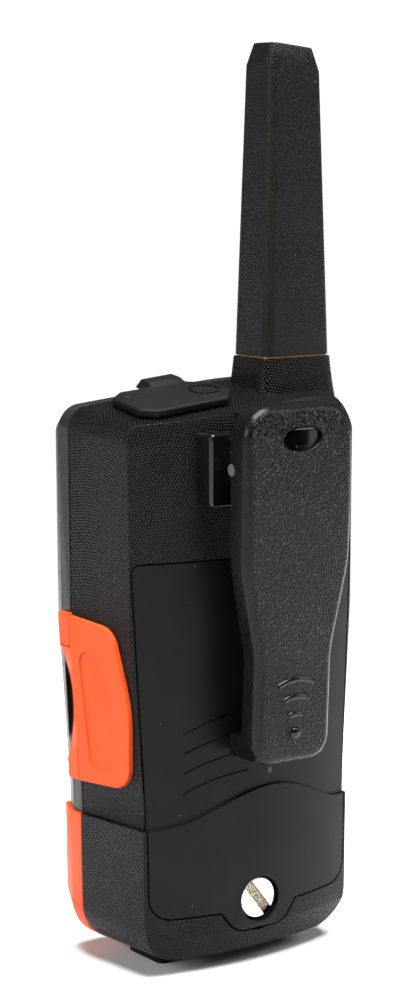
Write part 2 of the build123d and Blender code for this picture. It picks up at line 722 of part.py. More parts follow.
def back_housing():
    """The back casing, with the antenna collar, the battery bay and the bed of the door."""
    housing = (OUTSIDE & behind_parting()) + collar()
    head_hollow, bay, door_room, boss_room = housing_cavities()
    housing = housing - head_hollow
    for x, z in screw_places():
        top_y = BACK_Y - 2.0 if z > DOOR_TOP_Z else BAY_FLOOR_Y
        column = rod_along_y(x, z, POST_R + 0.4, BOARD_Y + BOARD_THICK + 0.1, top_y)
        housing = housing + (column & PLAIN)
    housing = housing - bay - door_room - boss_room
    for x, z in screw_places():
        housing = housing - rod_along_y(x, z, SCREW_SHANK_R + EASE, 0, SCREW_SEAT_Y + OVERCUT)
        housing = housing - rod_along_y(x, z, SCREW_HEAD_R + EASE, SCREW_SEAT_Y, REACH)
    housing = housing - rod_along_y(0, LOCK_Z, INSERT_R + HAIR, INSERT_FOOT_Y - 0.1, BACK_Y)
    for side in (-1, 1):
        reach = (PAD_REACH_X, REACH) if side > 0 else (-REACH, -PAD_REACH_X)
        bed = shell_band(GRIP_PROUD + OVERCUT, -PAD_BED) & grip_outline(0.0, *reach) & behind_parting()
        housing = housing - bed
    stem_foot = COLLAR_BASE_Z - RING_STEM_FOOT - 2.0
    housing = housing - rod_along_z(ANTENNA_X, ANTENNA_Y, ANTENNA_BORE_R, stem_foot, COLLAR_TOP_Z + OVERCUT)
    housing = housing - talk_outline(GAP, -REACH, TALK_INNER_X)
    housing = housing - jack_body(HAIR) - port_body(HAIR) - door_seal() - gasket()
    for x in (-CLIP_POST_X, CLIP_POST_X):
        housing = housing - rod_along_y(x, CLIP_POST_Z, CLIP_POST_R + EASE, CLIP_POST_END_Y - OVERCUT, REACH)
    return housing


# ================================================================ front pieces
def lcd_window():
    """The clear window, set in a rebate of the front shell."""
    window_z = (WINDOW_BASE_Z + WINDOW_TOP_Z) / 2
    window_tall = (WINDOW_TOP_Z - WINDOW_BASE_Z) / 2
    wide, tall = WINDOW_HALF - 2 * HAIR, window_tall - 2 * HAIR
    face = FRONT_Y + WINDOW_BACK
    return rounded_bar(wide, tall, WINDOW_RADIUS - 2 * HAIR, 0, window_z, face, face + WINDOW_THICK)


def lcd_module():
    """The display glass in its frame, on the display board."""
    front = FRONT_Y + WALL + SPEAKER_STAND
    return block(-LCD_HALF, LCD_HALF, front, DISPLAY_BOARD_Y, WINDOW_BASE_Z + 1.0, WINDOW_TOP_Z - 1.0)


def display_board():
    """The small board that carries the display and the key contacts."""
    half = DISPLAY_BOARD_HALF
    back = DISPLAY_BOARD_Y + DISPLAY_BOARD_THICK
    plate = block(-half, half, DISPLAY_BOARD_Y, back, KEY_ROW_LOW_Z - 5.0, WINDOW_TOP_Z + 1.5)
    for x, z in screw_places():
        plate = plate - rod_along_y(x, z, POST_R + 0.4, FRONT_Y, 0)
    return plate


def front_key(x, z):
    """One key: its cap stands through the front, and its flange keeps it in."""
    inside = FRONT_Y + WALL + GAP
    cap = rounded_bar(KEY_HALF_WIDE, KEY_HALF_TALL, KEY_RADIUS, x, z, FRONT_Y - KEY_PROUD, inside + 0.1)
    edges = cap.faces().sort_by(Axis.Y)[0].edges()
    cap = fillet(edges, KEY_EDGE_R)
    back = inside + KEY_FLANGE_THICK
    wide, tall = KEY_HALF_WIDE + KEY_FLANGE, KEY_HALF_TALL + KEY_FLANGE
    flange = rounded_bar(wide, tall, KEY_RADIUS, x, z, inside, back)
    return cap + flange


def key_membrane():
    """The rubber sheet with a dome behind each key."""
    face = DISPLAY_BOARD_Y - MEMBRANE_THICK
    low, high = KEY_ROW_LOW_Z - MEMBRANE_MARGIN, KEY_ROW_HIGH_Z + MEMBRANE_MARGIN
    sheet = block(-MEMBRANE_HALF, MEMBRANE_HALF, face, DISPLAY_BOARD_Y, low, high)
    for x, z in key_places().values():
        sheet = sheet + rod_along_y(x, z, DOME_R, face - 0.3, face + 0.3)
    return sheet


def speaker_basket():
    """The loudspeaker's frame and magnet."""
    front = FRONT_Y + WALL + SPEAKER_STAND
    rim = rod_along_y(0, SPEAKER_Z, SPEAKER_R, front, front + SPEAKER_RIM)
    cup = rod_along_y(0, SPEAKER_Z, SPEAKER_R - 2.5, front + 1.0, front + 3.6)
    magnet = rod_along_y(0, SPEAKER_Z, MAGNET_R, front + 3.0, front + SPEAKER_DEEP)
    hollow = rod_along_y(0, SPEAKER_Z, SPEAKER_R - 3.4, front - 1, front + 2.8)
    return rim + cup + magnet - hollow


def speaker_cone():
    """The loudspeaker's cone, with its dust cap."""
    front = FRONT_Y + WALL + SPEAKER_STAND
    outer = SPEAKER_R - 3.5
    cone = Pos(0, front + 1.4, SPEAKER_Z) * Rot(-90, 0, 0) * Cone(outer, CONE_TOP_R, CONE_TALL)
    hollow = Pos(0, front + 0.9, SPEAKER_Z) * Rot(-90, 0, 0) * Cone(outer, CONE_TOP_R, CONE_TALL)
    cap = Pos(0, front + 2.0, SPEAKER_Z) * Rot(90, 0, 0) * Cylinder(CONE_TOP_R + 0.2, 0.6)
    return (cone - hollow) + cap


def speaker_mesh():
    """The water barrier behind the speaker's slots."""
    inside = FRONT_Y + WALL
    return rod_along_y(0, SPEAKER_Z, SPEAKER_R, inside + 0.05, inside + 0.4)


def microphone():
    """The microphone capsule."""
    front = FRONT_Y + WALL + 0.9
    return rod_along_y(MIC_X, MIC_Z, MIC_R, front, front + MIC_DEEP)


def microphone_boot():
    """The rubber cup that holds the microphone against the front shell."""
    front = FRONT_Y + WALL + 0.05
    cup = rod_along_y(MIC_X, MIC_Z, MIC_R + 1.0, front, front + MIC_DEEP)
    bore = rod_along_y(MIC_X, MIC_Z, MIC_R, front + 0.85, front + MIC_DEEP + OVERCUT)
    port = rod_along_y(MIC_X, MIC_Z, MIC_PORT_R, front - OVERCUT, front + OVERCUT)
    return cup - bore - port


def main_board():
    """The main circuit board, shaped to the inside of the shells."""
    slab = block(-REACH, REACH, BOARD_Y, BOARD_Y + BOARD_THICK, -REACH, 4 * REACH)
    board = form(-WALL - BOARD_IN) & slab
    for x, z in screw_places():
        board = board - rod_along_y(x, z, SCREW_SHANK_R + 2 * EASE, FRONT_Y, BACK_Y)
    return board


def rf_shield():
    """The tin can over the transmitter, on the front of the main board."""
    half, wall = SHIELD_HALF, SHIELD_WALL
    face = BOARD_Y - SHIELD_TALL
    can = block(-half, half, face, BOARD_Y, SHIELD_BASE_Z, SHIELD_TOP_Z)
    room = block(wall - half, half - wall, face + wall, BOARD_Y + 1, SHIELD_BASE_Z + wall, SHIELD_TOP_Z - wall)
    return can - room


def talk_switch():
    """The switch that the push-to-talk bar presses."""
    x = TALK_PEG_X + 1.2
    half = SWITCH_TALL / 2
    return block(x, x + SWITCH_DEEP, BOARD_Y - half, BOARD_Y, TALK_Z - half, TALK_Z + half)


def talk_bar():
    """The push-to-talk bar, which slides inwards through the side of the shells."""
    band = shell_band(TALK_PROUD, -TALK_DEEP) & talk_outline(0.0, -REACH, TALK_INNER_X)
    edge_x = -HALF_WIDE + TALK_DEEP - 0.6
    return band + rod_along_x(TALK_PEG_Y, TALK_Z, TALK_PEG_R, edge_x, TALK_PEG_X)


# ================================================================ antenna
def antenna_sheath():
    """The moulded whip, square at its foot, with a chamfered and slanted tip."""
    stations = [
        (ANTENNA_BASE_Z, ANTENNA_WIDE, ANTENNA_DEEP, ANTENNA_EDGE_R, 0.0),
        (ANTENNA_CHAMFER_Z, ANTENNA_TOP_WIDE, ANTENNA_TOP_DEEP, ANTENNA_EDGE_R - 0.3, ANTENNA_TILT),
        (ANTENNA_TIP_Z - ANTENNA_TIP_DROP, ANTENNA_TIP_WIDE, ANTENNA_TIP_DEEP, ANTENNA_EDGE_R - 0.5, ANTENNA_TILT),
    ]
    faces = []
    for z, wide, deep, radius, tilt in stations:
        face = RectangleRounded(wide, deep, radius)
        faces.append(Pos(ANTENNA_X, ANTENNA_Y, z) * Rot(0, -tilt, 0) * face)
    whip = loft(faces, ruled=True)
    whip = fillet(whip.faces().sort_by(Axis.Z)[-1].edges(), ANTENNA_TIP_R)
    foot = ANTENNA_BASE_Z - OVERCUT
    return whip - rod_along_z(ANTENNA_X, ANTENNA_Y, ANTENNA_BORE_R, foot, ANTENNA_BORE_Z)


def antenna_coil():
    """The wound radiator inside the whip."""
    base = ANTENNA_BASE_Z + COIL_MARGIN
    height = ANTENNA_BORE_Z - COIL_MARGIN - base
    path = Helix(COIL_PITCH, height, COIL_R)
    start = path @ 0
    section = Plane(origin=start, z_dir=path % 0) * Circle(COIL_WIRE_R)
    return Pos(ANTENNA_X, ANTENNA_Y, base) * sweep(section, path=path, is_frenet=True)


def antenna_ring():
    """The brass ring in the joint between the whip and its collar."""
    foot = COLLAR_TOP_Z + HAIR
    section = RectangleRounded(ANTENNA_WIDE - RING_IN, ANTENNA_DEEP - RING_IN, ANTENNA_EDGE_R - RING_IN / 2)
    ring = extrude(Pos(ANTENNA_X, ANTENNA_Y, foot) * section, ANTENNA_BASE_Z - HAIR - foot)
    stem_foot = COLLAR_BASE_Z - RING_STEM_FOOT
    stem_head = ANTENNA_BASE_Z + RING_STEM_HEAD
    return ring + rod_along_z(ANTENNA_X, ANTENNA_Y, ANTENNA_BORE_R - 2 * HAIR, stem_foot, stem_head)


# ================================================================ top cover and sockets
def top_place():
    """The place on the sloping top where the cover's hinge line starts, and the top's tilt."""
    fall_x = (PEAK_Z - SHOULDER_Z) / (HALF_TOP - PEAK_X)
    return Plane(
        origin=(0, COVER_HINGE_Y, PEAK_Z + PEAK_X * fall_x - TOP_FALL * COVER_HINGE_Y + COVER_LIFT),
        x_dir=(1, 0, -fall_x),
        z_dir=Vector(fall_x, TOP_FALL, 1),
    )


def jack_cover():
    """The rubber flap over the sockets: hinged at the back, with a ramped pull tab at the front."""
    place = top_place()
    points = [
        (24.0, -13.5),
        (24.2, -3.0),
        (21.4, 0.0),
        (3.2, 0.0),
        (-1.0, -4.6),
        (-1.0, -12.0),
        (3.6, -16.0),
        (20.0, -16.6),
    ]
    wire = FilletPolyline(*points, radius=1.2, close=True)
    flap = extrude(place * make_face(wire.edges()), COVER_THICK)
    flap = fillet(flap.faces().sort_by(Axis.Z)[-1].edges(), COVER_EDGE_R)
    foot = COVER_THICK - 1.1
    faces = []
    for rise, half_wide, front, back in ((foot, 5.2, -20.4, -13.6), (COVER_THICK + TAB_RISE, 4.0, -19.6, -16.2)):
        section = Rectangle(2 * half_wide, back - front)
        faces.append(place * Pos(8.2, (front + back) / 2, rise) * section)
    tab = loft(faces, ruled=True)
    tab = fillet(tab.edges(), 0.3)
    ring = Circle(RING_MARK_R) - Circle(RING_MARK_R - RING_MARK_WIDE)
    mark = extrude(place * Pos(3.8, -8.0, COVER_THICK - RING_MARK_DEEP) * ring, 1)
    return flap + tab - mark


def jack_body(grow):
    """The outer shape of the headset socket, offset by grow."""
    return top_place() * Pos(JACK_X, SOCKET_Y, -5.6) * Cylinder(3.4 + grow, 11.0)


def headset_jack():
    """The headset socket under the cover."""
    return jack_body(0.0) - top_place() * Pos(JACK_X, SOCKET_Y, -4.0) * Cylinder(1.3, 9.0)


def port_body(grow):
    """The outer shape of the charging socket, offset by grow."""
    return top_place() * Pos(PORT_X, SOCKET_Y, -3.6) * Box(9.0 + 2 * grow, 4.4 + 2 * grow, 7.0)


def charge_port():
    """The charging socket under the cover."""
    place = top_place()
    shell = port_body(0.0) - place * Pos(PORT_X, SOCKET_Y, -2.6) * Box(7.6, 2.8, 6.0)
    return shell + place * Pos(PORT_X, SOCKET_Y, -4.4) * Box(5.6, 0.7, 3.6)


# ================================================================ battery door and lock screw
def battery_door():
    """The crowned door over the cells: its tongue carries the lock screw."""
    panel = (OUTSIDE & door_prism(0.0)) - crown_form(-DOOR_WALL)
    boss = rod_along_y(0, LOCK_Z, BOSS_R, BOSS_BASE_Y, BACK_Y) & form(PROUD)
    head_floor = LOCK_FACE_Y - LOCK_HEAD_THICK - 2 * HAIR
    bore = rod_along_y(0, LOCK_Z, LOCK_BORE_R, head_floor, REACH)
    hole = rod_along_y(0, LOCK_Z, LOCK_SHANK_R + EASE, BOSS_BASE_Y - OVERCUT, REACH)
    door = panel + boss - bore - hole
    for step in range(RIB_COUNT):
        door = door - door_rib(step)
    return door


def door_rib(step):
    """One of the shallow curved finger grooves on the door."""
    low_z = RIB_LOW_Z - step * RIB_PITCH
    high_z = RIB_HIGH_Z - step * RIB_PITCH
    middle = ((RIB_LOW_X + RIB_HIGH_X) / 2, (low_z + high_z) / 2 + RIB_BOW)
    under = ThreePointArc((RIB_LOW_X, low_z), middle, (RIB_HIGH_X, high_z))
    over = ThreePointArc(
        (RIB_HIGH_X, high_z + RIB_WIDE),
        (middle[0], middle[1] + RIB_WIDE),
        (RIB_LOW_X, low_z + RIB_WIDE),
    )
    ends = [Line(under @ 1, over @ 0), Line(over @ 1, under @ 0)]
    outline = under.edges() + over.edges() + ends[0].edges() + ends[1].edges()
    strip = extrude(front_plane(REACH) * make_face(outline), REACH - DOOR_FRONT_Y)
    skin = crown_form(PROUD + OVERCUT) - crown_form(-RIB_DEPTH)
    return (strip & skin) - boot_prism()


def door_seal():
    """The rubber seal round the battery bay, in a groove under the door."""
    half = BAY_HALF + SEAL_WIDTH
    ring = block(-half, half, BAY_FLOOR_Y, REACH, BAY_BASE_Z - SEAL_WIDTH, BAY_TOP_Z + SEAL_WIDTH)
    hole = block(-BAY_HALF, BAY_HALF, 0, REACH, BAY_BASE_Z, BAY_TOP_Z)
    layer = crown_form(-DOOR_WALL - SEAL_TOP) - crown_form(-DOOR_WALL - SEAL_DEPTH)
    return (ring - hole) & layer


def coin_screw():
    """The slotted lock screw, with a neck for its captive washer."""
    head = rod_along_y(0, LOCK_Z, LOCK_HEAD_R, LOCK_FACE_Y - LOCK_HEAD_THICK, LOCK_FACE_Y)
    head = fillet(head.faces().sort_by(Axis.Y)[-1].edges(), LOCK_EDGE_R)
    shank = rod_along_y(0, LOCK_Z, LOCK_SHANK_R, LOCK_SHANK_END_Y, LOCK_FACE_Y - 1)
    foot = washer_foot_y()
    neck = rod_along_y(0, LOCK_Z, LOCK_SHANK_R + 1, foot - HAIR / 2, foot + WASHER_THICK + HAIR / 2)
    groove = neck - rod_along_y(0, LOCK_Z, LOCK_SHANK_R - LOCK_NECK_CUT, 0, REACH)
    bar = Box(LOCK_SLOT, 2 * LOCK_SLOT_DEEP, 4 * LOCK_HEAD_R)
    slot = Pos(0, LOCK_FACE_Y, LOCK_Z) * Rot(0, LOCK_SLOT_TURN, 0) * bar
    return head + shank - groove - slot


def washer_foot_y():
    """Where the captive washer starts, so that it has room to move out with the screw."""
    return BOSS_BASE_Y - LOCK_TRAVEL - WASHER_THICK - GAP


def lock_washer():
    """The captive washer in the screw's neck, which keeps the screw in the door."""
    foot = washer_foot_y()
    disc = rod_along_y(0, LOCK_Z, WASHER_R, foot, foot + WASHER_THICK)
    return disc - rod_along_y(0, LOCK_Z, LOCK_SHANK_R - LOCK_NECK_CUT + HAIR, 0, REACH)


def threaded_insert():
    """The brass insert that the lock screw turns into."""
    sleeve = rod_along_y(0, LOCK_Z, INSERT_R, INSERT_FOOT_Y, INSERT_HEAD_Y)
    return sleeve - rod_along_y(0, LOCK_Z, LOCK_SHANK_R + HAIR, 0, REACH)


# ================================================================ cells and contacts
def cell_places():
    """The centre of each cell, side to side."""
    return {"cell_left": -CELL_PITCH, "cell_middle": 0.0, "cell_right": CELL_PITCH}


def cell(x):
    """One AA cell."""
    head = CELL_Z + CELL_LENGTH
    can = rod_along_z(x, CELL_Y, CELL_R, CELL_Z, head - CELL_NUB)
    can = fillet(can.edges().filter_by(GeomType.CIRCLE), CELL_EDGE_R)
    nub = rod_along_z(x, CELL_Y, CELL_NUB_R, head - CELL_NUB - 0.2, head)
    return can + nub


def contact_plate(x, z):
    """A contact plate at one end of a cell."""
    front, back = CELL_Y - CONTACT_FRONT, CELL_Y + CONTACT_BEHIND
    return block(x - CONTACT_HALF, x + CONTACT_HALF, front, back, z, z + CONTACT_THICK)


def upper_contacts():
    """The flat contact plates above the cells."""
    plates = []
    foot = BAY_TOP_Z - HAIR - CONTACT_THICK
    for x in cell_places().values():
        stud = rod_along_z(x, CELL_Y, CELL_NUB_R - 0.2, CELL_Z + CELL_LENGTH + 2 * HAIR, foot + 0.2)
        plates.append(contact_plate(x, foot) + stud)
    return Compound(children=[solid_of(p) for p in plates])


def lower_springs():
    """The coil springs and their plates under the cells."""
    springs = []
    for x in cell_places().values():
        rise = CELL_Z - BAY_BASE_Z - 1.4
        path = Helix(SPRING_PITCH, rise, SPRING_R)
        section = Plane(origin=path @ 0, z_dir=path % 0) * Circle(SPRING_WIRE_R)
        coil = Pos(x, CELL_Y, BAY_BASE_Z + 2 * SPRING_WIRE_R) * sweep(section, path=path, is_frenet=True)
        springs.append(contact_plate(x, BAY_BASE_Z + HAIR) + coil)
    return Compound(children=[solid_of(s) for s in springs])


def solid_of(shape):
    """The one solid in a shape."""
    return shape.solids()[0]


# ================================================================ belt clip
def clip_base():
    """The block that snaps onto the housing, with the lugs for the clip's pin."""
    points = [
        (-CLIP_HALF, CLIP_BASE_Z),
        (CLIP_HALF, CLIP_BASE_Z),
        (CLIP_HALF, CLIP_TOP_Z),
        (-CLIP_HALF, CLIP_TOP_Z),
    ]
    pad = front_prism(points, CLIP_CORNER_R, CLIP_FACE_Y - CLIP_DEEP, CLIP_FACE_Y)
    pad = fillet(pad.faces().sort_by(Axis.Y)[-1].edges(), CLIP_EDGE_R)
    pad = pad - crown_form(GAP / 2)
    for side in (-1, 1):
        x0, x1 = sorted((side * LUG_INNER, side * LUG_OUTER))
        lug = rod_along_x(PIN_Y, PIN_Z, LUG_R, x0, x1)
        web = block(x0, x1, CLIP_FACE_Y - CLIP_EDGE_R, PIN_Y, PIN_Z - LUG_R, PIN_Z + LUG_R)
        pad = pad + lug + web
        x = side * CLIP_POST_X
        pad = pad + rod_along_y(x, CLIP_POST_Z, CLIP_POST_R, CLIP_POST_END_Y, CLIP_FACE_Y - 2)
    return pad - rod_along_x(PIN_Y, PIN_Z, PIN_R + HAIR, -REACH, REACH)


def clip_pin():
    """The steel pin that the lever turns on."""
    end = LEVER_TOP_HALF - PIN_INSET
    return rod_along_x(PIN_Y, PIN_Z, PIN_R, -end, end)


def lever_outline(inset, y0, y1):
    """The lever in front view: wide at its head, and narrow at its tail."""
    top = LEVER_TOP_HALF - inset
    low = LEVER_LOW_HALF - inset
    points = [
        (top, LEVER_TOP_Z - inset),
        (-top, LEVER_TOP_Z - inset),
        (-top, LEVER_NECK_Z),
        (-low, LEVER_TAIL_Z),
        (-low, LEVER_BASE_Z + inset),
        (low, LEVER_BASE_Z + inset),
        (low, LEVER_TAIL_Z),
        (top, LEVER_NECK_Z),
    ]
    head, tail, neck = LEVER_HEAD_RADIUS - inset, LEVER_TAIL_RADIUS - inset, LEVER_NECK_RADIUS
    return front_prism(points, [head, head, neck, neck, tail, tail, neck, neck], y0, y1)


def lever_side(shift):
    """The lever's side view: its rim in front, and its gently sloping face behind."""
    face, tail = LEVER_TOP_Y - shift, LEVER_BASE_Y - shift
    points = [
        (LEVER_RIM_LOW_Y, LEVER_BASE_Z - OVERCUT),
        (tail, LEVER_BASE_Z - OVERCUT),
        (face, LEVER_NECK_Z + 14.0),
        (face, LEVER_TOP_Z - 6.0),
        (face - 0.9, LEVER_TOP_Z + OVERCUT),
        (LEVER_RIM_TOP_Y, LEVER_TOP_Z + OVERCUT),
        (LEVER_RIM_TOP_Y, LEVER_NECK_Z),
    ]
    return side_prism(points, [0, 0, 60.0, 6.0, 0, 0, 40.0], -REACH, REACH)


def clip_lever():
    """The sprung belt clip: a channel with an eyelet at its head and a hook at its tail."""
    slab = lever_outline(0.0, BACK_Y, REACH) & lever_side(0.0)
    face_edges = [e for e in slab.edges() if min(v.Y for v in e.vertices()) > LEVER_BASE_Y - 1.5]
    slab = fillet(face_edges, LEVER_EDGE_R)
    hollow = lever_outline(LEVER_WALL, BACK_Y, REACH) & lever_side(LEVER_WALL + 0.1)
    front = block(-REACH, REACH, BACK_Y, LEVER_RIM_TOP_Y + 0.5, 0, LEVER_TOP_Z - LEVER_WALL)
    channel = slab - hollow - (lever_outline(LEVER_WALL, BACK_Y, REACH) & front)
    nose_y = BACK_Y + GAP + 2 * HAIR
    hook = block(-HOOK_HALF, HOOK_HALF, nose_y, LEVER_BASE_Y - 1.5, HOOK_Z, HOOK_Z + HOOK_TALL)
    channel = channel + fillet(hook.faces().sort_by(Axis.Y)[0].edges(), HOOK_NOSE_R)
    eyelet = Pos(EYELET_X, EYELET_Z) * Rot(0, 0, EYELET_TURN) * Ellipse(EYELET_HALF_WIDE, EYELET_HALF_TALL)
    channel = channel - extrude(front_plane(REACH) * eyelet, REACH - LEVER_RIM_TOP_Y - OVERCUT)
    return channel - rod_along_x(PIN_Y, PIN_Z, PIN_R + HAIR, -REACH, REACH)


def clip_spring():
    """The torsion spring on the clip's pin, between the lugs."""
    length = 2 * LUG_INNER - 1.6
    path = Helix(CLIP_SPRING_PITCH, length, PIN_R + CLIP_SPRING_OUT)
    section = Plane(origin=path @ 0, z_dir=path % 0) * Circle(CLIP_SPRING_WIRE_R)
    coil = sweep(section, path=path, is_frenet=True)
    return Pos(-length / 2, PIN_Y, PIN_Z) * Rot(0, 90, 0) * coil


def clip_latch():
    """The thumb latch above the clip's block: pressing it forwards frees the clip."""
    foot = CLIP_TOP_Z + GAP
    body = block(-LATCH_HALF, LATCH_HALF, LATCH_FRONT_Y, LATCH_BACK_Y, foot, LATCH_TOP_Z)
    body = fillet(body.edges().filter_by(Axis.X).sort_by(Axis.Z)[-2:], LATCH_EDGE_R)
    half = LATCH_HALF - LATCH_LIP
    y, z = LATCH_BACK_Y + LATCH_SCOOP_OFF, LATCH_TOP_Z + LATCH_SCOOP_OFF
    return body - rod_along_x(y, z, LATCH_SCOOP_R, -half, half)


# ================================================================ feet, screws and plugs
def foot(side):
    """One of the two feet: a soft rail under the body."""
    faces = []
    for z, half, trim in ((0.0, FOOT_SOLE_HALF, FOOT_TRIM), (BASE_Z + 6.0, FOOT_HALF, -FOOT_SPREAD)):
        length = FOOT_BACK_Y - FOOT_FRONT_Y - 2 * trim
        section = RectangleRounded(2 * half, length, FOOT_RADIUS_IN_PLAN)
        faces.append(Pos(side * FOOT_X, (FOOT_BACK_Y + FOOT_FRONT_Y) / 2, z) * section)
    rail = loft(faces, ruled=True)
    return rail - form(PROUD) - PLAIN


def housing_screws():
    """The four screws that close the shells."""
    screws = []
    for x, z in screw_places():
        shank = rod_along_y(x, z, SCREW_SHANK_R, SCREW_TIP_Y, SCREW_SEAT_Y + 0.5)
        head = rod_along_y(x, z, SCREW_HEAD_R, SCREW_SEAT_Y, SCREW_SEAT_Y + SCREW_HEAD_THICK)
        floor = SCREW_SEAT_Y + RECESS_FLOOR
        wide, thin = RECESS_HALF, RECESS_WIDE / 2
        recess = block(x - wide, x + wide, floor, REACH, z - thin, z + thin)
        cross = block(x - thin, x + thin, floor, REACH, z - wide, z + wide)
        screws.append(solid_of(shank + head - recess - cross))
    return Compound(children=screws)


def screw_plugs():
    """The plugs over the two upper screws, flush with the crowned back."""
    plugs = []
    for x in (-SCREW_HIGH_X, SCREW_HIGH_X):
        rod = rod_along_y(x, SCREW_HIGH_Z, SCREW_HEAD_R + EASE - PLUG_GAP, PLUG_FRONT_Y, REACH)
        plugs.append(solid_of(rod & (crown_form(-PLUG_GAP) - crown_form(-PLUG_THICK))))
    return Compound(children=plugs)


# ================================================================ the pieces, by name
def pieces():
    """Every piece of the radio, by name."""
    made = {
        "front_shell": front_shell(),
        "back_housing": back_housing(),
        "shell_gasket": gasket(),
        "chin_bumper": chin_bumper(),
        "front_grip_left": front_grip(-1),
        "front_grip_right": front_grip(1),
        "back_grip_left": back_grip(-1),
        "back_grip_right": back_grip(1),
        "lcd_window": lcd_window(),
        "lcd_module": lcd_module(),
        "display_board": display_board(),
        "key_membrane": key_membrane(),
        "speaker_basket": speaker_basket(),
        "speaker_cone": speaker_cone(),
        "speaker_mesh": speaker_mesh(),
        "microphone": microphone(),
        "microphone_boot": microphone_boot(),
        "main_board": main_board(),
        "rf_shield": rf_shield(),
        "talk_switch": talk_switch(),
        "talk_bar": talk_bar(),
        "antenna_sheath": antenna_sheath(),
        "antenna_coil": antenna_coil(),
        "antenna_ring": antenna_ring(),
        "jack_cover": jack_cover(),
        "headset_jack": headset_jack(),
        "charge_port": charge_port(),
        "battery_door": battery_door(),
        "door_seal": door_seal(),
        "coin_screw": coin_screw(),
        "lock_washer": lock_washer(),
        "threaded_insert": threaded_insert(),
        "upper_contacts": upper_contacts(),
        "lower_springs": lower_springs(),
        "clip_base": clip_base(),
        "clip_lever": clip_lever(),
        "clip_pin": clip_pin(),
        "clip_spring": clip_spring(),
        "clip_latch": clip_latch(),
        "foot_left": foot(-1),
        "foot_right": foot(1),
        "housing_screws": housing_screws(),
        "screw_plugs": screw_plugs(),
    }
    for name, place in key_places().items():
        made[name] = front_key(*place)
    for name, x in cell_places().items():
        made[name] = cell(x)
    return made


CENTRE_Y = (LEVER_TOP_Y + FRONT_Y - KEY_PROUD) / 2

for name, piece in pieces().items():
    export_step(Pos(0, -CENTRE_Y, 0) * piece, f"parts/{name}.step")
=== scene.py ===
"""Studio scene of a rugged handheld two-way radio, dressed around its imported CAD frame."""

import json
import logging
import math
from dataclasses import dataclass
from enum import Enum
from typing import Any

import bpy
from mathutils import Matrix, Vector

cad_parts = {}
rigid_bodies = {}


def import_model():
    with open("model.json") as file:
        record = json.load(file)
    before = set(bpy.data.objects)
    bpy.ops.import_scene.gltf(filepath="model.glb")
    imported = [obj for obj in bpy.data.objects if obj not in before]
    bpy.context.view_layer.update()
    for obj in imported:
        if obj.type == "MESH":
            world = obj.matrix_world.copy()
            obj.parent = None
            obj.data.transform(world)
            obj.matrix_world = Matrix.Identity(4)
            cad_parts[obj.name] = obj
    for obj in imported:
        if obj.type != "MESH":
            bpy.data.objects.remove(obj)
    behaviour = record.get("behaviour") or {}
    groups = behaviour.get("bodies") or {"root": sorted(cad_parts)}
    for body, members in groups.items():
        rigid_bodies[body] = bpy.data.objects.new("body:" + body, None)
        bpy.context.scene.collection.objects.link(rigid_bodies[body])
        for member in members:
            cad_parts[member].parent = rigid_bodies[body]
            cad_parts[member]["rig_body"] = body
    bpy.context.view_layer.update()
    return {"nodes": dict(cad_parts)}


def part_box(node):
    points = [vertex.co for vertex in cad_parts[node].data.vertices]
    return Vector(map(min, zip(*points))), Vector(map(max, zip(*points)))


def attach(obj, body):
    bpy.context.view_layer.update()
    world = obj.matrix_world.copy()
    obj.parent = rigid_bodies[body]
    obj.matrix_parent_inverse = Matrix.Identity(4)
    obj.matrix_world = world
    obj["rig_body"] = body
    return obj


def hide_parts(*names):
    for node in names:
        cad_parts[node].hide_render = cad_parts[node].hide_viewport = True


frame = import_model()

LOG = logging.getLogger("radio")
MM = 0.001
MERGE_REACH = 0.002                    # corners closer than this, in millimetres, become one
FLAT_ANGLE = 0.4                       # faces that turn by less than this, in degrees, become one
EDGE_ANGLE = 30.0                      # edges that turn by more than this, in degrees, are rounded
WIDE_ROUNDING = 0.3                    # a rounding wider than this, in millimetres, gets a third face
FAR_BEHIND = 100.0                     # a place well behind the radio, in millimetres
SMOOTH_ANGLE = 40.0                    # shading runs over edges that turn by less, in degrees
Colour = tuple[float, float, float]
Triple = tuple[float, float, float]
DUST_COLOUR: Colour = (0.35, 0.34, 0.32)


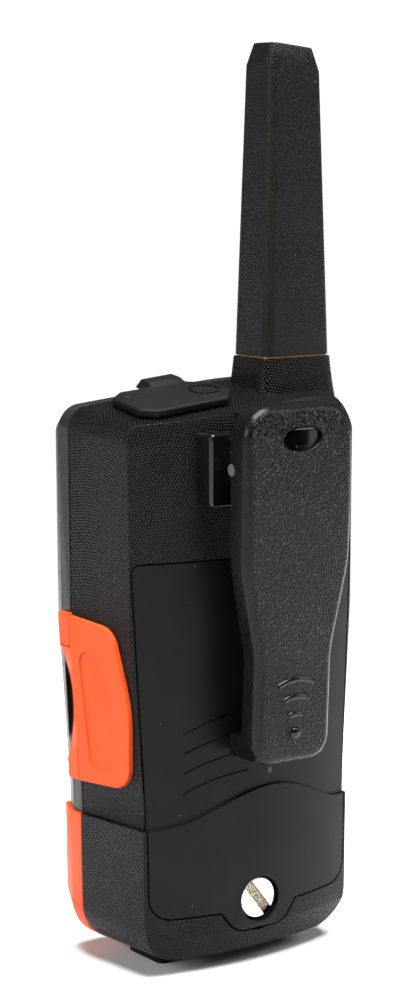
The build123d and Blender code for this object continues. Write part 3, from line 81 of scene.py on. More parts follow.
# ---------------------------------------------------------------- shader arithmetic
class Num:
    """A number that varies over a surface: a shader socket that takes Python arithmetic."""

    def __init__(self, graph: "Graph", socket: Any) -> None:
        """Keeps the socket, and the graph that new Math nodes go into."""
        self.graph = graph
        self.socket = socket

    def _math(self, operation: str, *values: Any) -> "Num":
        """Adds one Math node.

        Args:
            operation: the Math node's operation.
            values: its inputs in order, numbers or other Nums.

        Returns:
            The node's result.
        """
        settings, inputs = {"operation": operation}, dict(enumerate(values))
        return Num(self.graph, self.graph.node("ShaderNodeMath", settings, inputs).outputs[0])

    def __add__(self, other: Any) -> "Num":
        """Sum."""
        return self._math("ADD", self, other)

    def __radd__(self, other: Any) -> "Num":
        """Sum, with the number first."""
        return self._math("ADD", other, self)

    def __sub__(self, other: Any) -> "Num":
        """Difference."""
        return self._math("SUBTRACT", self, other)

    def __rsub__(self, other: Any) -> "Num":
        """Difference, with the number first."""
        return self._math("SUBTRACT", other, self)

    def __mul__(self, other: Any) -> "Num":
        """Product."""
        return self._math("MULTIPLY", self, other)

    def __rmul__(self, other: Any) -> "Num":
        """Product, with the number first."""
        return self._math("MULTIPLY", other, self)

    def __truediv__(self, other: Any) -> "Num":
        """Quotient."""
        return self._math("DIVIDE", self, other)

    def __gt__(self, other: Any) -> "Num":
        """1 where this is above the other, else 0."""
        return self._math("GREATER_THAN", self, other)

    def __lt__(self, other: Any) -> "Num":
        """1 where this is below the other, else 0."""
        return self._math("LESS_THAN", self, other)

    def __abs__(self) -> "Num":
        """Size without sign."""
        return self._math("ABSOLUTE", self)

    def floor(self) -> "Num":
        """The whole number below."""
        return self._math("FLOOR", self)

    def fract(self) -> "Num":
        """The part after the whole number."""
        return self._math("FRACT", self)

    def root(self) -> "Num":
        """Square root."""
        return self._math("SQRT", self)

    def sine(self) -> "Num":
        """Sine, of radians."""
        return self._math("SINE", self)

    def smooth(self, low: float, high: float) -> "Num":
        """A soft step from 0 at low to 1 at high.

        Args:
            low: the value that gives 0.
            high: the value that gives 1; it may be the smaller one.

        Returns:
            The step, between 0 and 1.
        """
        if low > high:
            return 1 - self.smooth(high, low)
        settings = {"interpolation_type": "SMOOTHSTEP"}
        node = self.graph.node("ShaderNodeMapRange", settings, {0: self, 1: low, 2: high, 3: 0.0, 4: 1.0})
        return Num(self.graph, node.outputs[0])


class Graph:
    """The nodes of one material."""

    def __init__(self, name: str) -> None:
        """Starts an empty material.

        Args:
            name: the material's name.
        """
        self.material = bpy.data.materials.new(name)
        self.material.use_nodes = True
        self.tree = self.material.node_tree
        self.tree.nodes.clear()

    def node(self, kind: str, settings: dict[str, Any], inputs: dict[Any, Any]) -> Any:
        """Adds one node: its settings first, then the values or links of its sockets.

        Args:
            kind: the node's type.
            settings: its properties by name.
            inputs: its sockets, by name or by number.

        Returns:
            The node.
        """
        node = self.tree.nodes.new(kind)
        for key, value in settings.items():
            setattr(node, key, value)
        for key, value in inputs.items():
            if isinstance(value, Num):
                self.tree.links.new(value.socket, node.inputs[key])
            elif isinstance(value, bpy.types.NodeSocket):
                self.tree.links.new(value, node.inputs[key])
            else:
                node.inputs[key].default_value = value
        return node

    def axes(self, output: str, scale: float) -> tuple[Num, Num, Num]:
        """The three parts of a texture coordinate.

        Args:
            output: Object for places, Normal for directions.
            scale: what each part is multiplied by.

        Returns:
            Its X, Y and Z.
        """
        source = self.node("ShaderNodeTexCoord", {}, {})
        split = self.node("ShaderNodeSeparateXYZ", {}, {0: source.outputs[output]})
        return tuple(Num(self, split.outputs[i]) * scale for i in range(3))

    def place(self, stretch: Triple = (1.0, 1.0, 1.0)) -> Any:
        """Object coordinates in millimetres, stretched along each axis.

        Args:
            stretch: how much finer a pattern becomes along X, Y and Z.

        Returns:
            The vector socket.
        """
        source = self.node("ShaderNodeTexCoord", {}, {})
        scale = tuple(s / MM for s in stretch)
        mapping = self.node("ShaderNodeMapping", {}, {"Vector": source.outputs["Object"], "Scale": scale})
        return mapping.outputs[0]

    def noise(self, scale: float, detail: float = 3.0, stretch: Triple = (1, 1, 1)) -> Num:
        """Soft noise around 0.5.

        Args:
            scale: features per millimetre.
            detail: octaves.
            stretch: how much finer it is along X, Y and Z.

        Returns:
            The noise.
        """
        inputs = {"Vector": self.place(stretch), "Scale": scale, "Detail": detail}
        return Num(self, self.node("ShaderNodeTexNoise", {}, inputs).outputs[0])

    def cells(self, scale: float, feature: str = "F1", wobble: float = 0.0) -> Num:
        """Distances in a Voronoi pattern.

        Args:
            scale: cells per millimetre.
            feature: which distance.
            wobble: how far noise pushes the pattern about, in millimetres.

        Returns:
            The distance, in cells.
        """
        vector = self.place()
        if wobble:
            source = self.node("ShaderNodeTexNoise", {}, {"Vector": vector, "Scale": scale * 0.8})
            reach = {0: source.outputs["Color"], "Scale": wobble}
            shift = self.node("ShaderNodeVectorMath", {"operation": "SCALE"}, reach)
            moved = {0: vector, 1: shift.outputs[0]}
            vector = self.node("ShaderNodeVectorMath", {"operation": "ADD"}, moved).outputs[0]
        inputs = {"Vector": vector, "Scale": scale}
        return Num(self, self.node("ShaderNodeTexVoronoi", {"feature": feature}, inputs).outputs[0])

    def mix(self, factor: Any, low: Any, high: Any) -> Any:
        """A colour between two colours.

        Args:
            factor: 0 gives low, 1 gives high.
            low: a colour or a colour socket.
            high: a colour or a colour socket.

        Returns:
            The colour socket.
        """
        pick = {0: factor, 6: rgba(low), 7: rgba(high)}
        return self.node("ShaderNodeMix", {"data_type": "RGBA"}, pick).outputs[2]


def rgba(colour: Any) -> Any:
    """A colour with its alpha, or the socket it already is."""
    return colour if isinstance(colour, bpy.types.NodeSocket) else (*colour, 1.0)


# ---------------------------------------------------------------- finishes
@dataclass(frozen=True)
class Finish:
    """A surface finish: even by itself, and varied by the kinds below."""

    colour: Colour
    roughness: float
    metallic: float = 0.0
    coat: float = 0.0
    specular: float = 0.5
    bump: float = 0.05
    mottle: float = 0.15
    dust: float = 0.35

    def relief(self, graph: Graph) -> Num:
        """The height of the surface, from 0 to 1 times bump: a faint moulding texture here."""
        return graph.noise(1.6, 4.0)

    def shade(self, graph: Graph, relief: Num) -> Any:
        """The colour, lighter and darker by a soft mottle, with a few specks of dust.

        Args:
            graph: the material's nodes.
            relief: the surface's height; not used here.

        Returns:
            The colour socket.
        """
        patch = graph.noise(0.09, 3.0).smooth(0.3, 0.7)
        dark = tuple(c * (1 - self.mottle) for c in self.colour)
        light = tuple(c * (1 + self.mottle) for c in self.colour)
        base = graph.mix(patch, dark, light)
        speck = graph.cells(0.33).smooth(0.075, 0.045) * (graph.noise(0.21, 2.0) > 0.56)
        return graph.mix(speck * self.dust, base, DUST_COLOUR)

    def polish(self, graph: Graph, relief: Num) -> Any:
        """The roughness, a little uneven from handling."""
        return self.roughness * 0.86 + self.roughness * 0.28 * graph.noise(0.16, 4.0)

    def shine(self, graph: Graph) -> Any:
        """How metallic the surface is."""
        return self.metallic

    def material(self, name: str) -> bpy.types.Material:
        """Builds the finish as a material.

        Args:
            name: the material's name.

        Returns:
            The material.
        """
        graph = Graph(name)
        relief = self.relief(graph)
        settings = {"Height": relief, "Distance": self.bump * MM, "Strength": 1.0}
        bump = graph.node("ShaderNodeBump", {}, settings)
        inputs = {
            "Base Color": self.shade(graph, relief),
            "Roughness": self.polish(graph, relief),
            "Metallic": self.shine(graph),
            "Coat Weight": self.coat,
            "Coat Roughness": 0.25,
            "Specular IOR Level": self.specular,
            "Normal": bump.outputs[0],
        }
        shader = graph.node("ShaderNodeBsdfPrincipled", {}, inputs)
        graph.node("ShaderNodeOutputMaterial", {}, {"Surface": shader.outputs[0]})
        return graph.material


@dataclass(frozen=True)
class DottedPlastic(Finish):
    """Moulded plastic with staggered rows of small raised dots that follow the surface."""

    pitch: float = 0.74
    dot: float = 0.36
    sway: float = 1.1

    def relief(self, graph: Graph) -> Num:
        """The dots: in side view on the sides, in plan on the top, in front view elsewhere."""
        x, y, z = graph.axes("Object", 1 / MM)
        nx, _, nz = graph.axes("Normal", 1.0)
        side = abs(nx) > 0.72
        top = abs(nz) > 0.62
        across = side * y + (1 - side) * x
        along = top * y + (1 - top) * z + (across * 0.21).sine() * self.sway + (along_wave(z)) * 0.5
        row = along / (self.pitch * 0.866)
        column = across / self.pitch + row.floor() * 0.5
        du = column.fract() - 0.5
        dv = (row.fract() - 0.5) * 0.866
        return (du * du + dv * dv).root().smooth(self.dot, self.dot * 0.35)

    def shade(self, graph: Graph, relief: Num) -> Any:
        """Painted shade: darker between the dots, so the dots' tops stand out lighter as painted glints."""
        base = super().shade(graph, relief)
        # painted shade between the dots: a third of the shell's colour
        painted_valley_shade = tuple(c * 0.3 for c in self.colour)
        return graph.mix(relief, painted_valley_shade, base)

    def polish(self, graph: Graph, relief: Num) -> Any:
        """Smoother on the dots' tops."""
        return super().polish(graph, relief) - relief * 0.12


def along_wave(z: Num) -> Num:
    """A slow wave along the height, which keeps rows from lying dead straight."""
    return (z * 0.11).sine()


@dataclass(frozen=True)
class StreakedPlastic(Finish):
    """Fine satin plastic with very faint level streaks from its mould."""

    def relief(self, graph: Graph) -> Num:
        """Level streaks over a fine grain."""
        return graph.noise(0.9, 4.0, (0.35, 1.0, 4.5)) * 0.7 + graph.noise(4.0, 2.0) * 0.5


@dataclass(frozen=True)
class PebbledPlastic(Finish):
    """Plastic with a raised pebble grain: strong on the faces, and faint on rolled edges."""

    grain: float = 1.25
    facing: float = 0.93
    edge: float = 0.12
    # pale colour painted on pebble tops as glints
    painted_glint: Colour = (0.17, 0.17, 0.16)

    def relief(self, graph: Graph) -> Num:
        """Pebbles, full on a face that looks straight back and faint where it turns away."""
        _, ny, _ = graph.axes("Normal", 1.0)
        pebble = graph.cells(self.grain, "F1", 0.5 / self.grain).smooth(0.62, 0.12)
        fine = graph.noise(self.grain * 2.6, 2.0)
        face = ny.smooth(self.facing - 0.2, self.facing + 0.05) * (1 - self.edge) + self.edge
        return (pebble * 0.85 + fine * 0.2) * face

    def shade(self, graph: Graph, relief: Num) -> Any:
        """Painted glints: paler colour on the tops of some pebbles."""
        # painted glints on the highest pebbles, where a noise lets them through
        glint_mask = relief.smooth(0.72, 0.98) * graph.noise(0.9, 2.0).smooth(0.44, 0.66)
        return graph.mix(glint_mask * 0.8, super().shade(graph, relief), self.painted_glint)

    def polish(self, graph: Graph, relief: Num) -> Any:
        """Shinier on the pebbles' tops."""
        return self.roughness + 0.1 - relief * 0.16


@dataclass(frozen=True)
class GrainedPlastic(Finish):
    """Plastic with a fine leather grain all over."""

    grain: float = 1.7

    def relief(self, graph: Graph) -> Num:
        """Small cells with creases between them."""
        crease = graph.cells(self.grain, "DISTANCE_TO_EDGE", 0.5 / self.grain).smooth(0.0, 0.22)
        return crease * 0.75 + graph.noise(self.grain * 1.7, 3.0) * 0.4


@dataclass(frozen=True)
class LockMetal(Finish):
    """Bright plate, worn through to rough brass in the slot of the screw; the plate is near white and only
    partly metallic, so its colour also paints in the reflection of the lights.
    """

    turn: float = 38.0
    half_slot: float = 1.15

    def worn(self, graph: Graph) -> Num:
        """1 in the slot, 0 on the polished head."""
        low, high = (corner / MM for corner in map(Vector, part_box("coin_screw")))
        centre, face = (low + high) / 2, high.y
        x, y, z = graph.axes("Object", 1 / MM)
        turn = math.radians(self.turn)
        off = (x - centre.x) * math.cos(turn) - (z - centre.z) * math.sin(turn)
        ragged = graph.noise(1.8, 3.0) * 0.35 - 0.17
        return (abs(off) + ragged).smooth(self.half_slot + 0.12, self.half_slot - 0.02) * (y < face - 0.12)

    def relief(self, graph: Graph) -> Num:
        """Rough grains in the slot."""
        return graph.noise(3.2, 5.0) * (self.worn(graph) * 0.95 + 0.05)

    def shade(self, graph: Graph, relief: Num) -> Any:
        """Near-white plate outside the slot, which also paints in the reflection of the lights; pitted
        brass in the slot.
        """
        pit = graph.mix(graph.noise(2.4, 4.0).smooth(0.38, 0.62), (0.16, 0.12, 0.08), (0.66, 0.58, 0.44))
        return graph.mix(self.worn(graph), self.colour, pit)

    def polish(self, graph: Graph, relief: Num) -> Any:
        """Rough in the slot."""
        return self.worn(graph) * 0.3 + self.roughness


@dataclass(frozen=True)
class CircuitBoard(Finish):
    """Solder mask over copper tracks."""

    def relief(self, graph: Graph) -> Num:
        """Tracks as flat ridges."""
        return graph.cells(0.35, "DISTANCE_TO_EDGE").smooth(0.10, 0.06)

    def shade(self, graph: Graph, relief: Num) -> Any:
        """Lighter over the tracks."""
        light = tuple(min(1.0, c * 1.9) for c in self.colour)
        return graph.mix(relief * 0.6, self.colour, light)


@dataclass(frozen=True)
class ClearWindow(Finish):
    """A clear hard-coated window, tinted dark; the dark border printed behind it on the radio is not drawn
    here.
    """

    def material(self, name: str) -> bpy.types.Material:
        """Builds the window as tinted transparent gloss.

        Args:
            name: the material's name.

        Returns:
            The material.
        """
        graph = Graph(name)
        wave = graph.noise(0.2, 2.0)
        bump = graph.node("ShaderNodeBump", {}, {"Height": wave, "Distance": self.bump * MM})
        inputs = {
            "Base Color": rgba(self.colour),
            "Roughness": graph.noise(0.3, 3.0) * 0.06 + self.roughness,
            "Alpha": 0.32,
            "Coat Weight": self.coat,
            "Normal": bump.outputs[0],
        }
        shader = graph.node("ShaderNodeBsdfPrincipled", {}, inputs)
        graph.node("ShaderNodeOutputMaterial", {}, {"Surface": shader.outputs[0]})
        return graph.material


class Mark(Enum):
    """What is printed on a key."""

    RING = "ring"
    BELL = "bell"
    WAVES = "waves"
    DOWN = "down"
    UP = "up"


@dataclass(frozen=True)
class PrintedKey(Finish):
    """A rubber key with a small mark printed on its face."""

    node: str = ""
    mark: Mark = Mark.RING
    ink: Colour = (0.7, 0.7, 0.68)

    def printed(self, graph: Graph) -> Num:
        """1 inside the printed mark, 0 outside it."""
        low, high = (Vector(corner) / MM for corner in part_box(self.node))
        x, _, z = graph.axes("Object", 1 / MM)
        x, z = x - (low.x + high.x) / 2, z - (low.z + high.z) / 2
        reach = (x * x + z * z).root()
        match self.mark:
            case Mark.RING:
                stem = (abs(x) < 0.18) * (abs(z - 1.3) < 0.75)
                return (abs(reach - 1.25) < 0.18) * (abs(x) + (z < 0) > 0.42) + stem
            case Mark.BELL:
                rim = (abs(x) < 1.5) * (abs(z + 1.1) < 0.18)
                return (abs(x) < (z * -0.45 + 0.8)) * (abs(z - 0.1) < 1.1) + rim
            case Mark.WAVES:
                return (abs(((reach - 0.2) / 0.8).fract() - 0.5) < 0.2) * (reach < 1.8) * (abs(x) < abs(z))
            case Mark.DOWN:
                return (abs(x) < (z + 1.0)) * (z < 0.7)
            case Mark.UP:
                return (abs(x) < (z * -1.0 + 1.0)) * (z > -0.7)

    def shade(self, graph: Graph, relief: Num) -> Any:
        """White in the mark, on the key's own colour."""
        ink = self.printed(graph).smooth(0.3, 0.7)
        return graph.mix(ink, super().shade(graph, relief), self.ink)


@dataclass(frozen=True)
class DisplayGlass(Finish):
    """The display: two large figures over a row of small bars, dark on pale glass."""

    ink: Colour = (0.02, 0.025, 0.02)
    bars: tuple[tuple[float, float, float, float], ...] = (
        (0.0, 3.4, 1.5, 0.35), (0.0, -3.4, 1.5, 0.35), (0.0, 0.0, 1.5, 0.35),
        (-1.9, 1.7, 0.35, 1.35), (1.9, 1.7, 0.35, 1.35), (-1.9, -1.7, 0.35, 1.35), (1.9, -1.7, 0.35, 1.35))

    def lit(self, graph: Graph) -> Num:
        """1 where the display is dark."""
        low, high = (Vector(corner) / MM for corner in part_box("lcd_module"))
        x, _, z = graph.axes("Object", 1 / MM)
        x, z = x - (low.x + high.x) / 2, z - (low.z + high.z) / 2
        figure = abs(x) - 3.2
        total = (abs(((x + 12.0) / 1.6).fract() - 0.5) < 0.28) * (abs(z + 6.6) < 0.7) * (abs(x) < 9.0)
        for across, up, half_wide, half_high in self.bars:
            total = total + (abs(figure - across) < half_wide) * (abs(z - up - 1.2) < half_high)
        return total

    def shade(self, graph: Graph, relief: Num) -> Any:
        """Dark figures on the pale ground."""
        lit = self.lit(graph).smooth(0.3, 0.7)
        return graph.mix(lit, super().shade(graph, relief), self.ink)


class Wear(Enum):
    """The finishes of the radio's pieces."""

    SHELL = "shell"
    FRONT = "front"
    DOOR = "door"
    CLIP = "clip"
    GLOSS = "gloss"
    WHIP = "whip"
    ORANGE = "orange"
    RUBBER = "rubber"
    CALL_KEY = "call_key"
    POWER_KEY = "power_key"
    SCAN_KEY = "scan_key"
    DOWN_KEY = "down_key"
    UP_KEY = "up_key"
    WINDOW = "window"
    DISPLAY = "display"
    BOARD = "board"
    TIN = "tin"
    PLATE = "plate"
    STEEL = "steel"
    BRASS = "brass"
    PAPER = "paper"
    CELL = "cell"
    MARK = "mark"



FINISHES: dict[Wear, Finish] = {
    Wear.SHELL: DottedPlastic((0.0085, 0.0085, 0.0087), 0.3, specular=0.1, bump=0.22, dot=0.45),
    Wear.FRONT: Finish((0.014, 0.014, 0.0142), 0.42, specular=0.17, bump=0.04),
    Wear.DOOR: StreakedPlastic((0.0065, 0.0065, 0.0066), 0.38, specular=0.1, bump=0.05),
    Wear.CLIP: PebbledPlastic((0.005, 0.005, 0.0052), 0.18, specular=0.14, bump=0.18, grain=1.9),
    Wear.GLOSS: Finish((0.004, 0.004, 0.0042), 0.14, specular=0.25, bump=0.01, coat=0.1),
    Wear.WHIP: GrainedPlastic((0.0085, 0.0083, 0.008), 0.3, specular=0.12, bump=0.06),
    Wear.ORANGE: Finish((0.95, 0.105, 0.02), 0.5, specular=0.2, bump=0.012, mottle=0.04, dust=0.1),
    Wear.RUBBER: Finish((0.0045, 0.0045, 0.0044), 0.55, specular=0.12, bump=0.06, dust=0.8),
    Wear.CALL_KEY: PrintedKey((0.03, 0.03, 0.032), 0.55, bump=0.02, node="call_key", mark=Mark.BELL),
    Wear.POWER_KEY: PrintedKey((0.03, 0.03, 0.032), 0.55, bump=0.02, node="power_key", mark=Mark.RING),
    Wear.SCAN_KEY: PrintedKey((0.03, 0.03, 0.032), 0.55, bump=0.02, node="scan_key", mark=Mark.WAVES),
    Wear.DOWN_KEY: PrintedKey((0.03, 0.03, 0.032), 0.55, bump=0.02, node="down_key", mark=Mark.DOWN),
    Wear.UP_KEY: PrintedKey((0.03, 0.03, 0.032), 0.55, bump=0.02, node="up_key", mark=Mark.UP),
    Wear.WINDOW: ClearWindow((0.03, 0.035, 0.035), 0.05, coat=0.5, bump=0.01),
    Wear.DISPLAY: DisplayGlass((0.33, 0.38, 0.3), 0.3, bump=0.005),
    Wear.BOARD: CircuitBoard((0.02, 0.16, 0.06), 0.35, bump=0.04),
    Wear.TIN: Finish((0.62, 0.62, 0.6), 0.34, metallic=1.0, bump=0.02),
    # near white at metallic 0.7: bright nickel plate, with painted reflection in its diffuse white
    Wear.PLATE: LockMetal((0.97, 0.97, 0.96), 0.16, metallic=0.7, bump=0.2),
    Wear.STEEL: Finish((0.5, 0.5, 0.5), 0.3, metallic=1.0, bump=0.02),
    Wear.BRASS: Finish((0.5, 0.27, 0.1), 0.4, metallic=1.0, bump=0.02),
    Wear.PAPER: Finish((0.02, 0.02, 0.02), 0.9, bump=0.08),
    Wear.CELL: Finish((0.05, 0.05, 0.055), 0.25, coat=0.4, bump=0.01),
    # dark gloss for the raised badge, and for the disc of painted shade below the clip's tip
    Wear.MARK: Finish((0.003, 0.003, 0.003), 0.16, specular=0.3, bump=0.01),
}
MATERIALS: dict[Wear, bpy.types.Material] = {}


def finish(wear: Wear) -> bpy.types.Material:
    """The material of a finish, built once."""
    if wear not in MATERIALS:
        MATERIALS[wear] = FINISHES[wear].material(wear.value)
    return MATERIALS[wear]


# ---------------------------------------------------------------- modelling helpers
def clear_selection() -> None:
    """Deselects everything."""
    bpy.ops.object.select_all(action="DESELECT")


def take(piece: bpy.types.Object) -> None:
    """Makes a piece the only selected one, and the active one."""
    clear_selection()
    piece.select_set(True)
    bpy.context.view_layer.objects.active = piece


def apply_modifiers(piece: bpy.types.Object) -> None:
    """Applies every modifier of a piece, in order."""
    take(piece)
    for modifier in list(piece.modifiers):
        bpy.ops.object.modifier_apply(modifier=modifier.name)


def dress(piece: bpy.types.Object, wear: Wear) -> None:
    """Gives a piece one finish all over."""
    piece.data.materials.clear()
    piece.data.materials.append(finish(wear))


def softened(node: str, width: float, wear: Wear, segments: int = 2) -> bpy.types.Object:
    """A copy of a CAD node with its sharp edges rounded, which stands for the node.

    Args:
        node: the CAD node's name.
        width: how far the rounding reaches from an edge, in millimetres.
        wear: the copy's finish.
        segments: how many faces round each edge.

    Returns:
        The copy.
    """
    source = frame["nodes"][node]
    piece = bpy.data.objects.new(node + ".soft", source.data.copy())
    bpy.context.scene.collection.objects.link(piece)
    dress(piece, wear)
    piece.data.materials.append(finish(wear))
    take(piece)
    bpy.ops.mesh.customdata_custom_splitnormals_clear()
    bpy.ops.object.mode_set(mode="EDIT")
    bpy.ops.mesh.select_all(action="SELECT")
    bpy.ops.mesh.remove_doubles(threshold=MERGE_REACH * MM)
    bpy.ops.mesh.dissolve_limited(angle_limit=math.radians(FLAT_ANGLE))
    bpy.ops.object.mode_set(mode="OBJECT")
    rounding = piece.modifiers.new("rounding", "BEVEL")
    rounding.width = width * MM
    rounding.segments = segments
    rounding.limit_method = "ANGLE"
    rounding.angle_limit = math.radians(EDGE_ANGLE)
    rounding.use_clamp_overlap = False
    rounding.material = 1
    apply_modifiers(piece)
    bpy.ops.object.shade_smooth_by_angle(angle=math.radians(EDGE_ANGLE))
    keep_flow(piece, source)
    dress(piece, wear)
    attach(piece, source["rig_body"])
    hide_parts(node)
    return piece


def keep_flow(piece: bpy.types.Object, source: bpy.types.Object) -> None:
    """Gives the faces between the rounded edges the smooth shading of the CAD surface.

    Args:
        piece: the copy, whose rounded edges hold the second material slot.
        source: the CAD node it was copied from.
    """
    faces = piece.data.polygons
    between = {corner for face in faces if face.material_index == 0 for corner in face.vertices}
    group = piece.vertex_groups.new(name="between")
    group.add(list(between), 1.0, "REPLACE")
    for face in faces:
        face.material_index = 0
    flow = piece.modifiers.new("flow", "DATA_TRANSFER")
    flow.object = source
    flow.use_loop_data = True
    flow.data_types_loops = {"CUSTOM_NORMAL"}
    flow.loop_mapping = "POLYINTERP_NEAREST"
    flow.vertex_group = group.name
    apply_modifiers(piece)
    piece.vertex_groups.clear()


# ---------------------------------------------------------------- the studio
@dataclass
class Studio:
    """Pale floor, soft lights and the camera."""

    camera_place: Triple = (0.3012, 0.4070, 0.1756)
    camera_azimuth: float = 35.98
    camera_pitch: float = 8.4
    focal_to_height: float = 2.377
    floor_size: float = 24.0
    fade_from: float = 0.10
    fade_to: float = 0.42
    floor_glow: float = 1.02
    sky_seen: float = 1.05
    sky_light: float = 0.08

    def build(self) -> None:
        """Sets everything that isn't part of the radio."""
        self.floor()
        self.lights()
        self.sky()
        self.camera()

    def floor(self) -> None:
        """A wide pale floor, which the camera sees fade to white away from the radio."""
        clear_selection()
        bpy.ops.mesh.primitive_plane_add(size=self.floor_size, location=(0, 0, 0))
        floor = bpy.context.active_object
        floor.name = "studio_floor"
        graph = Graph("floor")
        x, y, _ = graph.axes("Object", 1.0)
        away = (x * x + y * y).root().smooth(self.fade_from, self.fade_to)
        path = graph.node("ShaderNodeLightPath", {}, {})
        seen = Num(graph, path.outputs["Is Camera Ray"]) * away
        scattered = Num(graph, path.outputs["Is Diffuse Ray"])
        paper = graph.mix(scattered, (0.92, 0.92, 0.92), (0.3, 0.3, 0.3))
        matt = graph.node("ShaderNodeBsdfDiffuse", {}, {"Color": paper})
        glow = {"Color": (1, 1, 1, 1), "Strength": self.floor_glow}
        white = graph.node("ShaderNodeEmission", {}, glow)
        blend = graph.node("ShaderNodeMixShader", {}, {0: seen, 1: matt.outputs[0], 2: white.outputs[0]})
        graph.node("ShaderNodeOutputMaterial", {}, {"Surface": blend.outputs[0]})
        floor.data.materials.append(graph.material)

    def lamp(self, name: str, place: Vector, aim: Vector, size: float, power: float) -> None:
        """One square soft light.

        Args:
            name: the light's name.
            place: where it hangs.
            aim: what it points at.
            size: the side of the square, in metres.
            power: its power, in watts.
        """
        clear_selection()
        bpy.ops.object.light_add(type="AREA", location=place)
        lamp = bpy.context.active_object
        lamp.name = name
        lamp.data.shape = "SQUARE"
        lamp.data.size = size
        lamp.data.energy = power
        lamp.rotation_euler = (aim - place).to_track_quat("-Z", "Y").to_euler()

    def lights(self) -> None:
        """A large light overhead and a smaller one on each side."""
        middle = Vector((0, 0, 0.1))
        self.lamp("overhead", Vector((0.0, 0.2, 1.3)), middle, 0.9, 58.0)
        self.lamp("left_side", Vector((1.5, -0.1, 0.7)), middle, 0.7, 15.0)
        self.lamp("right_rear", Vector((-1.1, 0.7, 0.8)), middle, 0.5, 7.0)

    def sky(self) -> None:
        """A dim even surround that the camera sees as white."""
        world = bpy.data.worlds.new("surround")
        bpy.context.scene.world = world
        world.use_nodes = True
        nodes, links = world.node_tree.nodes, world.node_tree.links
        nodes.clear()
        ambient = nodes.new("ShaderNodeBackground")
        ambient.inputs[0].default_value = (1, 1, 1, 1)
        ambient.inputs[1].default_value = self.sky_light
        seen = nodes.new("ShaderNodeBackground")
        seen.inputs[0].default_value = (1, 1, 1, 1)
        seen.inputs[1].default_value = self.sky_seen
        path = nodes.new("ShaderNodeLightPath")
        pick = nodes.new("ShaderNodeMixShader")
        out = nodes.new("ShaderNodeOutputWorld")
        links.new(path.outputs["Is Camera Ray"], pick.inputs[0])
        links.new(ambient.outputs[0], pick.inputs[1])
        links.new(seen.outputs[0], pick.inputs[2])
        links.new(pick.outputs[0], out.inputs[0])

    def camera(self) -> None:
        """The camera: a long lens, level, from behind and to the +X side."""
        data = bpy.data.cameras.new("camera")
        data.lens = data.sensor_width * self.focal_to_height
        camera = bpy.data.objects.new("camera", data)
        bpy.context.scene.collection.objects.link(camera)
        turn, tip = math.radians(self.camera_azimuth), math.radians(self.camera_pitch)
        forward = Vector((-math.sin(turn) * math.cos(tip), -math.cos(turn) * math.cos(tip), -math.sin(tip)))
        camera.location = self.camera_place
        camera.rotation_euler = forward.to_track_quat("-Z", "Y").to_euler()
        bpy.context.scene.camera = camera
        bpy.context.scene.view_settings.view_transform = "Standard"


# ---------------------------------------------------------------- sub-assemblies
@dataclass
class Mouldings:
    """The moulded pieces that show: each is rounded along its edges by its own width."""

    widths: dict[Wear, dict[str, float]]

    def build(self) -> list[bpy.types.Object]:
        """Rounds every moulding's edges and gives it its finish."""
        return [softened(node, width, wear, 3 if width > WIDE_ROUNDING else 2)
                for wear, nodes in self.widths.items() for node, width in nodes.items()]


CASINGS = Mouldings({
    Wear.SHELL: {"back_housing": 0.16},
    Wear.FRONT: {"front_shell": 0.2},
    Wear.DOOR: {"battery_door": 0.16},
    Wear.WHIP: {"antenna_sheath": 0.12},
})
SOFT_PARTS = Mouldings({
    Wear.ORANGE: {"chin_bumper": 0.35, "front_grip_left": 0.3, "front_grip_right": 0.3,
                  "back_grip_left": 0.3, "back_grip_right": 0.3},
    Wear.RUBBER: {"jack_cover": 0.3, "foot_left": 0.4, "foot_right": 0.4, "talk_bar": 0.12},
})
CLIP_PARTS = Mouldings({
    Wear.CLIP: {"clip_lever": 0.32},
    Wear.GLOSS: {"clip_base": 0.3, "clip_latch": 0.3},
    Wear.PLATE: {"coin_screw": 0.12},
})


def spot_on(node: str, across: float, up: float) -> tuple[Vector, Vector]:
    """The point of a rounded piece's back at a given place, and the way the face looks there.

    Args:
        node: the CAD node the piece stands for.
        across: the place along X, in millimetres.
        up: the place along Z, in millimetres.

    Returns:
        The point and the face's normal.
    """
    piece = bpy.data.objects[node + ".soft"]
    bpy.context.view_layer.update()
    start = Vector((across, FAR_BEHIND, up)) * MM
    _, spot, facing, _ = piece.ray_cast(start, Vector((0, -1, 0)))
    return spot, facing


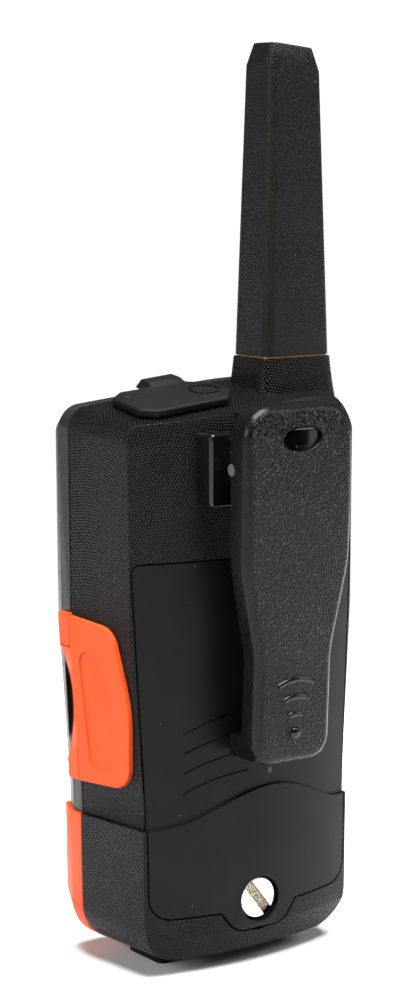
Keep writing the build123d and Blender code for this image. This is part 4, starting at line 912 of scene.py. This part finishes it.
@dataclass
class SignalBadge:
    """A raised badge on the clip's tail: a dot below three arcs."""

    node: str = "clip_lever"
    across: float = -0.1
    up: float = 53.9
    bar: float = 0.6
    dot_radius: float = 1.35
    radii: tuple[float, ...] = (4.2, 7.9, 11.6)
    half_angle: float = 24.0
    flatness: float = 0.55

    def dot(self) -> bpy.types.Object:
        """The dot at the foot of the badge."""
        clear_selection()
        bpy.ops.mesh.primitive_uv_sphere_add(radius=self.dot_radius * MM, segments=28, ring_count=14)
        return bpy.context.active_object

    def arc(self, radius: float) -> bpy.types.Object:
        """One arc: a ring cut down to a wedge.

        Args:
            radius: the arc's radius in millimetres.

        Returns:
            The arc.
        """
        clear_selection()
        bpy.ops.mesh.primitive_torus_add(major_radius=radius * MM, minor_radius=self.bar * MM,
                                         major_segments=96, minor_segments=12, rotation=(math.pi / 2, 0, 0))
        bpy.ops.object.transform_apply(location=True, rotation=True, scale=True)
        half = math.radians(self.half_angle)
        for side in (-1, 1):
            bpy.ops.object.mode_set(mode="EDIT")
            bpy.ops.mesh.select_all(action="SELECT")
            bpy.ops.mesh.bisect(plane_co=(0, 0, 0), plane_no=(side * math.cos(half), 0, -math.sin(half)),
                                use_fill=True, clear_outer=True)
            bpy.ops.object.mode_set(mode="OBJECT")
        return bpy.context.active_object

    def build(self) -> list[bpy.types.Object]:
        """Models the badge flat, then lays it on the clip's face."""
        pieces = [self.dot(), *(self.arc(radius) for radius in self.radii)]
        clear_selection()
        for piece in pieces:
            piece.select_set(True)
        badge = pieces[0]
        bpy.context.view_layer.objects.active = badge
        bpy.ops.object.join()
        badge.name = "signal_badge"
        spot, facing = spot_on(self.node, self.across, self.up)
        badge.scale = (1, self.flatness, 1)
        badge.rotation_euler = (math.atan2(facing.z, facing.y), 0, 0)
        badge.location = spot
        bpy.ops.object.transform_apply(location=True, rotation=True, scale=True)
        bpy.ops.object.shade_smooth_by_angle(angle=math.radians(SMOOTH_ANGLE))
        dress(badge, Wear.MARK)
        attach(badge, frame["nodes"][self.node]["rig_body"])
        return [badge]


@dataclass
class TipShadeDisc:
    """A small dark oval disc on the door, just below the clip's tip: painted shade where the tip sits
    against the door.
    """

    node: str = "battery_door"
    across: float = -3.0
    up: float = 42.9
    size: tuple[float, float] = (0.55, 0.8)
    thickness: float = 0.12

    def build(self) -> list[bpy.types.Object]:
        """Lays a thin dark oval disc of painted shade on the door's face."""
        spot, facing = spot_on(self.node, self.across, self.up)
        clear_selection()
        bpy.ops.mesh.primitive_cylinder_add(radius=MM, depth=self.thickness * MM, vertices=32)
        shade_disc = bpy.context.active_object
        shade_disc.name = "painted_tip_shade"
        shade_disc.scale = (self.size[0], self.size[1], 1)
        shade_disc.rotation_euler = Vector(facing).to_track_quat("Z", "Y").to_euler()
        shade_disc.location = spot
        bpy.ops.object.transform_apply(location=True, rotation=True, scale=True)
        bpy.ops.object.shade_smooth_by_angle(angle=math.radians(SMOOTH_ANGLE))
        # dark gloss disc: painted shade below the clip's tip
        dress(shade_disc, Wear.MARK)
        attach(shade_disc, frame["nodes"][self.node]["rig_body"])
        return [shade_disc]


PLAIN_NODES: dict[str, Wear] = {
    "shell_gasket": Wear.RUBBER,
    "lcd_window": Wear.WINDOW,
    "lcd_module": Wear.DISPLAY,
    "display_board": Wear.BOARD,
    "key_membrane": Wear.RUBBER,
    "speaker_basket": Wear.TIN,
    "speaker_cone": Wear.PAPER,
    "speaker_mesh": Wear.PAPER,
    "microphone": Wear.TIN,
    "microphone_boot": Wear.RUBBER,
    "main_board": Wear.BOARD,
    "rf_shield": Wear.TIN,
    "talk_switch": Wear.GLOSS,
    "antenna_coil": Wear.BRASS,
    "antenna_ring": Wear.BRASS,
    "headset_jack": Wear.GLOSS,
    "charge_port": Wear.TIN,
    "door_seal": Wear.RUBBER,
    "lock_washer": Wear.STEEL,
    "threaded_insert": Wear.BRASS,
    "upper_contacts": Wear.TIN,
    "lower_springs": Wear.STEEL,
    "clip_pin": Wear.STEEL,
    "clip_spring": Wear.STEEL,
    "housing_screws": Wear.STEEL,
    "screw_plugs": Wear.SHELL,
    "call_key": Wear.CALL_KEY,
    "power_key": Wear.POWER_KEY,
    "scan_key": Wear.SCAN_KEY,
    "down_key": Wear.DOWN_KEY,
    "up_key": Wear.UP_KEY,
    "cell_left": Wear.CELL,
    "cell_middle": Wear.CELL,
    "cell_right": Wear.CELL,
}


def dress_plain_nodes() -> None:
    """Gives every CAD node that keeps its mesh its finish."""
    for node, wear in PLAIN_NODES.items():
        dress(frame["nodes"][node], wear)
        LOG.info("%s: %s", node, wear.value)


def main() -> None:
    """Builds the studio and the radio."""
    logging.basicConfig(level=logging.INFO, format="%(message)s")
    Studio().build()
    dress_plain_nodes()
    for assembly in (CASINGS, SOFT_PARTS, CLIP_PARTS, SignalBadge(), TipShadeDisc()):
        for piece in assembly.build():
            LOG.info("%s: %d faces", piece.name, len(piece.data.polygons))


if __name__ == "__main__":
    main()
